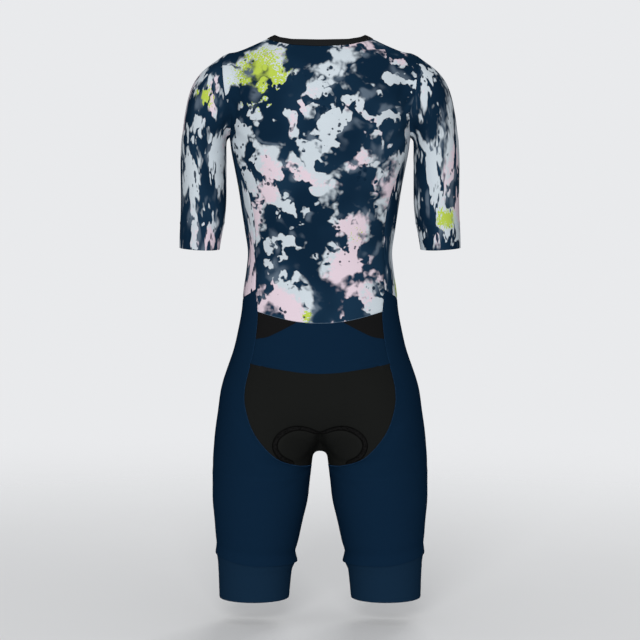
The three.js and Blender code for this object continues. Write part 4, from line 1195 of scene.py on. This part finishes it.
seat_black = Finish("seat_black", SEAT_ROUGH, specular=MATTE_GLOSS)
near_channel = seat_black.add("ShaderNodeAttribute", {}, 2, attribute_name="channel")
in_channel = seat_black.less(1.0, seat_black.mask(near_channel, *CHANNEL_EDGE))
perforated = seat_black.add("ShaderNodeTexVoronoi", {
    "Vector": seat_black.cut_places(), "Scale": HOLES_TO_METRE,
})
channel_net = seat_black.mix(seat_black.mask(perforated, *HOLE_EDGE), tone("070707"), tone("191919"))
channel_tone = seat_black.mix(seat_black.mask(near_channel, *STITCH_LINE), channel_net, tone("050505"))
# Painted highlight: the knit's loop tops are mixed towards a lighter black, as if lit.
seat_loop_highlight_mask = seat_black.on_loops(seat_black.knit(*SEAT_LOOPS))
seat_base = seat_black.mix(seat_loop_highlight_mask, seat_black.clouded(*KNIT_CLOUDS, "151615", "181918"), tone("1F201F"))
seat_black.colour(seat_black.mix(in_channel, seat_base, channel_tone))

lift, channel = seat_lift(seat.points)
seat_piece = cloth_shell(
    "seat_cloth", seat, lift + rolled_edges(seat), seat_black.material, marks={"channel": channel},
)
sew_on(seat_piece, "seat_panel")

# Seat pad
# A moulded two-lobed foam pad lies inside the seat, faced with a soft brushed knit.
# It thins to its edges, and a groove down the middle lets it fold between the lobes.
PAD_GAP = 0.5
PAD_THICK = 5
PAD_EDGE = 1.2
PAD_FIRST, PAD_LAST = 22, 52  # the seat's rows that the pad covers
PAD_COLUMNS = 15
PAD_ROUND = 14  # how far in from its edge it is still growing thicker
PAD_GROOVE = (1.6, 6)  # depth and width
PAD_DIMPLE = 0.25
PAD_DIMPLE_SIZE = 3.2
PAD_SUNK = 1.6
PAD_CLOUDS = (40.0, 3.0)
PAD_FINE = 2

pad_grid = seat_grid[PAD_FIRST : PAD_LAST + 1, : PAD_COLUMNS + 1]
pad = Panel(pad_grid, PAD_FINE, whole=True)
pad_x, pad_z = pad.points[..., 0], pad.points[..., 2]
pad_round = smooth_step(np.minimum.reduce(pad.from_edges()) / PAD_ROUND)
groove = PAD_GROOVE[0] * hump(pad_x, PAD_GROOVE[1])
dimples = PAD_DIMPLE * np.cos(pad_x / PAD_DIMPLE_SIZE) * np.cos(pad_z / PAD_DIMPLE_SIZE)
pad_thickness = PAD_EDGE + (PAD_THICK - PAD_EDGE - groove + dimples) * pad_round
pad_top = pad_lift(pad.points) * pad_round - PAD_SUNK - PAD_GAP
pad_top = np.minimum(pad_top, seat_lift(pad.points)[0] - CLOTH - PAD_GAP)
pad_finish = Finish("pad_foam", roughness=0.85, sheen=0.3, specular=0.2)
pad_finish.knit(wale=1.0, course=0.9, depth=0.3, grain=0.6)
pad_finish.colour(pad_finish.clouded(*PAD_CLOUDS, "26272A", "2E3034"))


def padded_shell(name, panel, top, thickness, material):
    piece = cloth_shell(name, panel, top, material, thickness=0)
    count = len(piece.data.vertices) // 2
    places = np.zeros(2 * count * 3)
    piece.data.vertices.foreach_get("co", places)
    places = places.reshape(-1, 3)
    places[count:] -= (panel.normals * thickness[..., None]).reshape(-1, 3) * MM
    piece.data.vertices.foreach_set("co", places.ravel())
    piece.data.update()
    return piece


pad_piece = padded_shell("foam_pad", pad, pad_top, pad_thickness, pad_finish.material)
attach(pad_piece, "suit")
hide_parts("seat_pad")

# Leg panels
# Each leg is one navy piece from the waist down, wrapped round and closed by an inseam.
# Its lower edge is turned up over the gripper band and stands out a little.
LEG_LINE = np.array([
    # z, x, y of the line that the leg is laid round
    (-440, 55, 2), (-560, 74, -8), (-700, 97, -15), (-850, 107, -11), (-960, 112.5, -10.5),
])
INSEAM_ANGLE = np.radians(-91)
INSEAM_TOP_Z = -722
LEG_END_Z = -886
LEG_END_RISE = 13  # the leg's end is higher on the outer side
LEG_END_CURVE = 1.5
LEG_FLARE = 3.4
INNER_FLARE = 4.4
LEG_FLARE_REACH = 17
LEG_FLARE_CURVE = 1.2
MIDDLE_FRONT_Z = [-510, -550, -595]
LOWER_ROWS = 20
LEG_COLUMNS = 60
LEG_JOIN_ROWS = 9
LEG_JOIN_TURNS = 50
UPPER_LEG_TURNS = 4
LEG_NORMAL_TURNS = 12
LEG_PULL = (0.4, 7)  # the thread draws the cloth in above the flare: how deep and how wide
LEG_PULL_UP = 3
LEG_END_ROLL = (0.5, 1.2)

leg_line = fine_table(LEG_LINE, ["x", "y"])


def leg_axis(z):
    return column(leg_line, "x", z), column(leg_line, "y", z)


def leg_points(angle, z):
    z = np.broadcast_to(z, np.shape(angle)).astype(float)
    return around(angle, z, *leg_axis(z))


def end_height(angle, low, rise):
    # Higher on the outer side, where the angle is a quarter turn from the back
    outer = np.clip(np.sin(angle), 0, 1) ** LEG_END_CURVE
    return low + rise * outer


def inner_share(points):
    # 1 on the leg's inner side, 0 on its outer half
    middle_x, middle_y = leg_axis(points[..., 2])
    inwards = middle_x - np.abs(points[..., 0])
    return np.clip(inwards / np.hypot(inwards, points[..., 1] - middle_y), 0, 1)


middle_top = on_front((0, ZIP_FOOT_Z))
middle_front = seam(middle_top, on_front([(0, z) for z in MIDDLE_FRONT_Z]), middle_foot)
zip_end = seam(zip_foot, middle_top)
leg_angles = INSEAM_ANGLE + np.linspace(0, 2 * np.pi, LEG_COLUMNS + 1)
inseam_ring = leg_points(leg_angles, INSEAM_TOP_Z)
inseam_ring[0] = inseam_ring[-1] = seat_side[-1]
leg_edges = (
    [(leg_top_side, 22), (leg_top_front, 37), (zip_end, 1)],
    [(inseam_ring, LEG_COLUMNS)],
    [(print_low, 4), (wedge_side, 6), (yoke_side, 5), (seat_side, 23)],
    [(middle_front, 26), (gusset[::-1], 12)],
)
upper_leg = patch(*leg_edges, leg_axis)
end_z = end_height(leg_angles, LEG_END_Z, LEG_END_RISE)


def rows_down(top, bottom, rows):
    # Rings of points round the leg, from one height to another
    shares = np.linspace(0, 1, rows + 1)
    return np.array([leg_points(leg_angles, top + share * (bottom - top)) for share in shares])


leg_grid = np.vstack([upper_leg, rows_down(INSEAM_TOP_Z, end_z, LOWER_ROWS)[1:]])
join = slice(len(upper_leg) - LEG_JOIN_ROWS, len(upper_leg) + LEG_JOIN_ROWS)
leg_grid[join] = relaxed(leg_grid[join], LEG_JOIN_TURNS)
leg_grid[: len(upper_leg)] = relaxed(leg_grid[: len(upper_leg)], UPPER_LEG_TURNS, on_form=False)
leg = Panel(leg_grid, COARSE)
leg.normals = evened(leg.normals, LEG_NORMAL_TURNS)
upper_rows = leg.down <= len(upper_leg) - 1
leg.points[0] = edge_at(leg_edges[0], leg.across)
leg.points[upper_rows, 0] = edge_at(leg_edges[2], leg.down[upper_rows])
leg.points[upper_rows, -1] = edge_at(leg_edges[3], leg.down[upper_rows])
for side, panel in leg.pair():
    bottom = panel.from_edges()[1]
    flare = LEG_FLARE + INNER_FLARE * inner_share(panel.points)
    flare = flare * np.clip(1 - bottom / LEG_FLARE_REACH, 0, 1) ** LEG_FLARE_CURVE
    pull = LEG_PULL[0] * hump(bottom - LEG_FLARE_REACH - LEG_PULL_UP, LEG_PULL[1])
    roll = LEG_END_ROLL[0] * hump(bottom, LEG_END_ROLL[1])
    lift = rolled_edges(panel, "tlr") + creased(panel.points) + flare - pull - roll
    piece = cloth_shell(f"navy_leg_{side}", panel, lift, navy_knit)
    sew_on(piece, f"leg_panel_{side}")

# Leg grippers
# Each leg ends in a 60 mm band of double knit with silicone inside, sewn under the leg's end.
# It is a shade lighter than the leg, as dense elastic takes the dye less.
HEM_Z = -950
GRIPPER_TUCK = 4  # how far its top lies under the leg's end
GRIPPER_ROWS = 12
GRIPPER_SHOULDER = 0.9  # how far the leg draws the band out below its end, and over what
GRIPPER_INNER_SHOULDER = 2.6
GRIPPER_SHOULDER_REACH = 22
GRIPPER_SHOULDER_FADE = 17
GRIPPER_HEM_ROLL = (0.6, 1.6)

grip_top = end_z + GRIPPER_TUCK
grip_grid = rows_down(grip_top, HEM_Z, GRIPPER_ROWS)
grip_grid[:, -1] = grip_grid[:, 0]
gripper = Panel(grip_grid, COARSE, ring=True)
gripper_band = plain_knit(
    "gripper_band", "12283B", "142A3E", "172D43", roughness=0.65, wale=1.6, course=0.8, depth=0.35,
)
for side, panel in gripper.pair():
    top, bottom = panel.from_edges()[:2]
    drawn_out = GRIPPER_SHOULDER + GRIPPER_INNER_SHOULDER * inner_share(panel.points)
    drawn_out = drawn_out * smooth_step((GRIPPER_SHOULDER_REACH - top) / GRIPPER_SHOULDER_FADE)
    lift = drawn_out - GRIPPER_HEM_ROLL[0] * hump(bottom, GRIPPER_HEM_ROLL[1])
    piece = cloth_shell(f"gripper_band_{side}", panel, lift, gripper_band)
    sew_on(piece, f"leg_gripper_{side}")

# Neck binding
# A black elastic binding folds over the neck's raw edge and is stitched through near its lower side.
# It is open at the front, where the zip's tapes run up into it.
BINDING_WIDTH = 11.5
BINDING_SHOULDER = 4  # how much wider it is where it is stretched over the shoulder
BINDING_SHOULDER_ROUND = 14
BINDING_WALL = 2.16
BINDING_LEAN = 0.2  # at the back it stands away from the form by this share of its width
BINDING_LEAN_ROUND = 50
BINDING_CROWN = 0.6
BINDING_SUNK = 0.1
BINDING_END_ROUND = 1.5
BINDING_STITCH = 2.0  # how far the stitch line lies from the lower edge
BINDING_STITCH_DIP = (0.35, 0.8)
BINDING_STEPS = 20  # from the middle of the back to the shoulder, and from there to the zip
BINDING_ROWS = 4

neck_edge = [(neck_back, BINDING_STEPS), (neck_front, BINDING_STEPS)]
band = [edge_at(neck_edge, np.arange(2 * BINDING_STEPS + 1.0))]
for _ in range(BINDING_ROWS):
    below = band[-1]
    along = np.gradient(below, axis=0)
    upward = np.cross(along, normals_at(below))
    upward /= np.linalg.norm(upward, axis=1, keepdims=True)
    upward *= np.where(upward[:, 2:] < 0, -1, 1)
    wide = BINDING_WIDTH + BINDING_SHOULDER * hump(below[:, :1] - neck_side[0], BINDING_SHOULDER_ROUND)
    raised = settle(below + upward * wide / BINDING_ROWS)
    raised[:1] = on_back((0, raised[0, 2]))
    raised[-1:] = on_front((ZIP_TAPE, raised[-1, 2]))
    band.append(raised)
binding = Panel(np.array(band), COARSE, whole=True)
binding_black = plain_knit(
    "binding_black", "18191A", "1B1C1D", "252627", roughness=0.6, wale=0.8, course=1.4, depth=0.5,
)
low_side, high_side, low_end, high_end = binding.from_edges()
crown = 1 - (2 * low_side / (low_side + high_side) - 1) ** 4
end_round = smooth_step(np.minimum(low_end, high_end) / BINDING_END_ROUND)
stitch_dip = BINDING_STITCH_DIP[0] * hump(low_side - BINDING_STITCH, BINDING_STITCH_DIP[1])
lean = BINDING_LEAN * low_side * hump(binding.points[..., 0], BINDING_LEAN_ROUND)
lean = lean * (binding.points[..., 1] < 0)
band_lift = BINDING_CROWN * crown * end_round - BINDING_SUNK - stitch_dip + lean
binding_piece = cloth_shell("neck_binding_band", binding, band_lift, binding_black, BINDING_WALL)
sew_on(binding_piece, "neck_binding")

# Front zip
# Two woven tapes carry a nylon coil whose turns hook into each other down the middle.
# The tapes run from the top of the binding to the foot of the fronts.
ZIP_COIL = 2.6
TAPE_ROWS = 110
TAPE_SUNK = 0.25
TAPE_WALL = 1.0
TAPE_FINE = 2

zip_z = np.linspace(band[-1][-1][2], ZIP_FOOT_Z, TAPE_ROWS + 1)
TAPE_X = [ZIP_TAPE, 4.5, ZIP_COIL, 1.2, 0.25]
tape = Panel(np.stack([on_front([(x, z) for z in zip_z]) for x in TAPE_X], axis=1), TAPE_FINE)
zip_tape = plain_knit(
    "zip_tape", "151618", "18191B", "222326", roughness=0.7, wale=0.7, course=0.5, depth=0.5,
)
for side, panel in tape.pair():
    piece = cloth_shell(f"zip_tape_{side}_cloth", panel, -TAPE_SUNK, zip_tape, TAPE_WALL)
    sew_on(piece, f"zip_tape_{side}")

# Zip coil
# Every turn of the coil is a small bent loop of nylon, stitched to its tape.
# The left and right turns lie between each other down the whole zip.
COIL_PITCH = 1.5
COIL_TURN = (1.5, 0.42, 0.6)  # half its length across, its width and its height
COIL_RISE = 0.275
COIL_MIDDLE = 1.25
COIL_SLANT = 0.12
BEAD_FACES = (6, 4)


def line_piece(name, points, normals):
    # A line as a mesh of edges, with the way out of the cloth kept at each of its points
    mesh = bpy.data.meshes.new(name)
    mesh.from_pydata((points * MM).tolist(), [(i, i + 1) for i in range(len(points) - 1)], [])
    out = mesh.attributes.new("out", "FLOAT_VECTOR", "POINT")
    out.data.foreach_set("vector", normals.ravel().astype(np.float32))
    return placed(name, mesh)


def repeat_tree(name, rows):
    """Beads set along a line, in rows that each have a share of the side offset and of the slant."""
    tree = bpy.data.node_groups.new(name, "GeometryNodeTree")
    face = tree.interface
    face.new_socket("Line", in_out="INPUT", socket_type="NodeSocketGeometry")
    for label in ("Pitch", "Side", "Rise", "Half length", "Half width", "Half height", "Slant"):
        face.new_socket(label, in_out="INPUT", socket_type="NodeSocketFloat")
    face.new_socket("Material", in_out="INPUT", socket_type="NodeSocketMaterial")
    face.new_socket("Beads", in_out="OUTPUT", socket_type="NodeSocketGeometry")

    def put(kind, inputs, **settings):
        node = tree.nodes.new(kind)
        for key, value in settings.items():
            setattr(node, key, value)
        for key, value in inputs.items():
            if isinstance(value, bpy.types.NodeSocket):
                tree.links.new(value, node.inputs[key])
            else:
                node.inputs[key].default_value = value
        return node

    given = put("NodeGroupInput", {}).outputs
    curve = put("GeometryNodeMeshToCurve", {"Mesh": given["Line"]}).outputs[0]
    spaced = put("GeometryNodeResampleCurve", {
        "Curve": curve, "Length": given["Pitch"],
    }, mode="LENGTH").outputs[0]
    ahead = put("GeometryNodeInputTangent", {}).outputs[0]
    out = put("GeometryNodeInputNamedAttribute", {"Name": "out"}, data_type="FLOAT_VECTOR").outputs[0]
    across = put("ShaderNodeVectorMath", {0: out, 1: ahead}, operation="CROSS_PRODUCT").outputs[0]
    size = put("ShaderNodeCombineXYZ", {
        "X": given["Half width"], "Y": given["Half length"], "Z": given["Half height"],
    }).outputs[0]
    bead = put("GeometryNodeMeshUVSphere", {
        "Segments": BEAD_FACES[0], "Rings": BEAD_FACES[1], "Radius": 1.0,
    }).outputs[0]
    stood = put("FunctionNodeAlignRotationToVector", {"Vector": out}, axis="Z").outputs[0]
    turned = put("FunctionNodeAlignRotationToVector", {
        "Rotation": stood, "Vector": ahead,
    }, axis="Y", pivot_axis="Z").outputs[0]
    joined = put("GeometryNodeJoinGeometry", {})
    for offset, slant in rows:
        side = put("ShaderNodeMath", {0: given["Side"], 1: offset}, operation="MULTIPLY").outputs[0]
        shift = put("ShaderNodeVectorMath", {0: across, "Scale": side}, operation="SCALE").outputs[0]
        lift = put("ShaderNodeVectorMath", {0: out, "Scale": given["Rise"]}, operation="SCALE").outputs[0]
        move = put("ShaderNodeVectorMath", {0: shift, 1: lift}, operation="ADD").outputs[0]
        angle = put("ShaderNodeMath", {0: given["Slant"], 1: slant}, operation="MULTIPLY").outputs[0]
        lean = put("ShaderNodeCombineXYZ", {"Z": angle}).outputs[0]
        lean = put("FunctionNodeEulerToRotation", {"Euler": lean}).outputs[0]
        way = put("FunctionNodeRotateRotation", {
            "Rotation": turned, "Rotate By": lean,
        }, rotation_space="LOCAL").outputs[0]
        beads = put("GeometryNodeInstanceOnPoints", {
            "Points": spaced, "Instance": bead, "Rotation": way, "Scale": size,
        }).outputs[0]
        moved = put("GeometryNodeTranslateInstances", {
            "Instances": beads, "Translation": move, "Local Space": False,
        }).outputs[0]
        tree.links.new(moved, joined.inputs[0])
    real = put("GeometryNodeRealizeInstances", {"Geometry": joined.outputs[0]}).outputs[0]
    smooth = put("GeometryNodeSetShadeSmooth", {"Geometry": real}).outputs[0]
    painted = put("GeometryNodeSetMaterial", {"Geometry": smooth, "Material": given["Material"]}).outputs[0]
    put("NodeGroupOutput", {"Beads": painted})
    return tree


def repeated(name, lines, tree, material, pitch, bead, side=0.0, rise=0.0, slant=0.0):
    """Runs a tree along each line and joins the results into one piece that is sewn to the suit."""
    given = {
        "Pitch": pitch * MM, "Side": side * MM, "Rise": rise * MM, "Slant": slant, "Material": material,
        "Half length": bead[0] * MM, "Half width": bead[1] * MM, "Half height": bead[2] * MM,
    }
    whole = bmesh.new()
    for i, (points, normals) in enumerate(lines):
        piece = line_piece(f"{name}_line_{i}", points, normals)
        modifier = piece.modifiers.new("beads", "NODES")
        modifier.node_group = tree
        for item in tree.interface.items_tree:
            if item.in_out == "INPUT" and item.name in given:
                modifier[item.identifier] = given[item.name]
        made = bpy.data.meshes.new_from_object(piece.evaluated_get(bpy.context.evaluated_depsgraph_get()))
        whole.from_mesh(made)
        piece.modifiers.remove(modifier)
        bpy.data.objects.remove(piece)
    mesh = bpy.data.meshes.new(name)
    whole.to_mesh(mesh)
    whole.free()
    mesh.materials.clear()
    mesh.materials.append(material)
    result = placed(name, mesh)
    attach(result, "suit")


THREAD_FIBRES = (900.0, 2.0)
THREAD_STRETCH = (1, 1, 4)
THREAD_GLOSS = 0.1


def thread_finish(name, colour, roughness, fibre_colour="30343A"):
    finish = Finish(name, roughness, specular=THREAD_GLOSS)
    fibre = finish.noise(finish.body_places((0, 0, 0), THREAD_STRETCH), *THREAD_FIBRES)
    finish.colour(finish.mix(fibre, tone(colour), tone(fibre_colour)))
    finish.bump(fibre, strength=0.3, distance=0.1)
    return finish.material


coil_nylon = thread_finish("coil_nylon", "151618", roughness=0.4)
coil_tree = repeat_tree("coil_turns", [(1, 1)])
coil_points = on_front([(0, z) for z in zip_z[2:-1]])
coil_normals = normals_at(coil_points)
for side, sign in (("right", 1), ("left", -1)):
    shift = np.array([COIL_MIDDLE * sign, 0, (sign - 1) * COIL_PITCH / 4])
    repeated(
        f"zip_coil_{side}", [(coil_points + shift, coil_normals)], coil_tree, coil_nylon,
        COIL_PITCH, COIL_TURN, rise=COIL_RISE, slant=np.pi / 2 + COIL_SLANT * sign,
    )

# Flatlock seams
# Thread loops lie flat across the seams round the seat, the yoke and the wedges.
# Two needle lines hold them, in a blue that is lighter than the cloth.
FLATLOCK_PITCH = 2.2
FLATLOCK_LOOP = (1.05, 0.26, 0.3)
FLATLOCK_SIDE = 1.3
FLATLOCK_SUNK = 0.1
FLATLOCK_SLANT = 0.9
flatlock_tree = repeat_tree("flatlock_stitches", [(1, 0), (-1, 0), (0, 1), (0, -1)])
seam_thread = thread_finish("seam_thread_blue", "1D4870", roughness=0.6, fibre_colour="17324E")


def both_sides(*lines):
    rows = []
    for line in lines:
        normals = normals_at(line)
        rows += [(line, normals), (mirrored(line), mirrored(normals))]
    return rows


repeated(
    "flatlock_stitches", both_sides(seat_side, yoke_side, wedge_side), flatlock_tree, seam_thread,
    FLATLOCK_PITCH, FLATLOCK_LOOP, FLATLOCK_SIDE, -FLATLOCK_SUNK, FLATLOCK_SLANT,
)

# Lockstitches
# A single line of black stitches holds the neck binding, and another each zip tape.
LOCKSTITCH_PITCH = 2.4
BINDING_THREAD = (0.95, 0.24, 0.24)
BINDING_THREAD_OUT = 0.15
TAPE_THREAD = (0.95, 0.22, 0.22)
TAPE_THREAD_SUNK = 0.1
TAPE_STITCH_X = 5.1
lockstitch_tree = repeat_tree("lockstitches", [(0, 0)])
thread_black = thread_finish("thread_black", "141516", roughness=0.5)
stitch_row = int(np.argmin(np.abs(low_side[:, BINDING_STEPS] - BINDING_STITCH)))
stitch_out = binding.normals[stitch_row]
binding_line = binding.points[stitch_row] + stitch_out * (band_lift[stitch_row][:, None] + BINDING_THREAD_OUT)
repeated(
    "binding_stitches", [(binding_line, stitch_out)], lockstitch_tree, thread_black,
    LOCKSTITCH_PITCH, BINDING_THREAD,
)
tape_line = on_front([(TAPE_STITCH_X, z) for z in zip_z[1:-1]])
repeated(
    "zip_tape_stitches", both_sides(tape_line), lockstitch_tree, thread_black,
    LOCKSTITCH_PITCH, TAPE_THREAD, rise=-TAPE_THREAD_SUNK,
)

# Slider and pull tab
# The slider is a zinc casting with a bridge over its top plate, painted dark.
# The tab is a stamped loop that swings on the bridge.
METAL_ROUND = 0.22
METAL_ROUND_PARTS = 3
ONE_SKIN = 1e-5
FLAT_ENOUGH = 0.02
SCRATCHES = (900.0, 3.0)
SCRATCH_STRETCH = (1, 1, 0.2)
painted_metal = Finish("painted_metal", roughness=0.38, metallic=0.85, specular=0.5)
scratch = painted_metal.noise(painted_metal.body_places((0, 0, 0), SCRATCH_STRETCH), *SCRATCHES)
painted_metal.colour(painted_metal.mix(scratch, tone("2A2C30"), tone("3A3D42")))
painted_metal.rough(painted_metal.between(scratch, 0, 1, low=0.3, high=0.5))


def rounded_copy(node, name, material):
    # The node's own shape, made one skin, with its edges rounded as a casting's are
    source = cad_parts[node]
    skin = bmesh.new()
    skin.from_mesh(source.data)
    bmesh.ops.remove_doubles(skin, verts=skin.verts, dist=ONE_SKIN)
    bmesh.ops.dissolve_limit(skin, angle_limit=FLAT_ENOUGH, verts=skin.verts, edges=skin.edges)
    mesh = bpy.data.meshes.new(name)
    skin.to_mesh(mesh)
    skin.free()
    mesh.materials.clear()
    mesh.materials.append(material)
    piece = placed(name, mesh)
    bevel = piece.modifiers.new("rounding", "BEVEL")
    bevel.width = METAL_ROUND * MM
    bevel.segments = METAL_ROUND_PARTS
    bevel.limit_method = "ANGLE"
    bevel.harden_normals = False
    return piece


for node, name, body in (
    ("zip_slider", "zip_slider_casting", "suit"),
    ("zip_pull_tab", "zip_pull_loop", "pull_tab"),
):
    piece = rounded_copy(node, name, painted_metal.material)
    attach(piece, body)
    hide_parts(node)

# The studio
# The suit is seen from straight behind, a little above its middle, over a plain pale floor.
# It hangs just clear of the floor, as if someone wore it, and the floor fades out round it.
FRAME_HEIGHT = 1.088
CAMERA_DISTANCE = 4.4
CAMERA_RISE = np.radians(5)
AIM = Vector((0, 0, -0.476))
SENSOR = 36
FLOOR_Z = -0.99
FLOOR_REACH = 6
FLOOR_CLOUDS = (3.0, 2.0)
FLOOR_FADE = (1.6, 1.1)  # where the fade is halfway, and its half width


def aimed(name, data, place):
    # A camera or a lamp that looks at the suit
    holder = placed(name, data)
    holder.location = place
    holder.rotation_euler = (AIM - holder.location).to_track_quat("-Z", "Y").to_euler()
    return holder


camera_data = bpy.data.cameras.new("camera")
camera_data.sensor_width = SENSOR
camera_data.lens = SENSOR * CAMERA_DISTANCE / FRAME_HEIGHT
camera_place = AIM + CAMERA_DISTANCE * Vector((0, -np.cos(CAMERA_RISE), np.sin(CAMERA_RISE)))
bpy.context.scene.camera = aimed("camera", camera_data, camera_place)

corners = [(-1, -1), (1, -1), (1, 1), (-1, 1)]
floor_mesh = bpy.data.meshes.new("floor")
floor_mesh.from_pydata([(x * FLOOR_REACH, y * FLOOR_REACH, FLOOR_Z) for x, y in corners], [], [(0, 1, 2, 3)])
floor_paper = Finish("floor_paper", roughness=0.9, specular=0.2)
floor_paper.colour(floor_paper.clouded(*FLOOR_CLOUDS, "EDEEEF", "F1F2F3"))
far_out = floor_paper.add("ShaderNodeVectorMath", {0: floor_paper.body_places()}, 1, operation="LENGTH")
faded = floor_paper.less(1.0, floor_paper.mask(far_out, *FLOOR_FADE))
floor_paper.put(floor_paper.shader.inputs["Alpha"], faded)
floor_mesh.materials.append(floor_paper.material)
placed("floor", floor_mesh)

LIGHTS = [
    # name, place, size and power
    ("broad_back", (-0.4, -5.4, 1.0), 2.2, 214),
    ("front_fill", (1.2, 4.8, 1.4), 3.0, 140),
    ("overhead", (0, -0.4, 3.6), 3.0, 22),
]
for name, place, size, power in LIGHTS:
    lamp = bpy.data.lights.new(name, "AREA")
    lamp.size = size
    lamp.energy = power
    aimed(name, lamp, place)
WORLD_LIGHT = 0.2
WORLD_SEEN = 0.84  # the pale surroundings that the camera sees
WORLD_TONE = (0.97, 0.98, 1, 1)
world = bpy.data.worlds.new("studio")
world.use_nodes = True
nodes, links = world.node_tree.nodes, world.node_tree.links
lit_by = nodes["Background"]
seen = nodes.new("ShaderNodeBackground")
for sky, strength in ((lit_by, WORLD_LIGHT), (seen, WORLD_SEEN)):
    sky.inputs["Color"].default_value = WORLD_TONE
    sky.inputs["Strength"].default_value = strength
either = nodes.new("ShaderNodeMixShader")
links.new(nodes.new("ShaderNodeLightPath").outputs["Is Camera Ray"], either.inputs[0])
links.new(lit_by.outputs[0], either.inputs[1])
links.new(seen.outputs[0], either.inputs[2])
links.new(either.outputs[0], nodes["World Output"].inputs["Surface"])
bpy.context.scene.world = world
bpy.context.scene.view_settings.view_transform = "Standard"
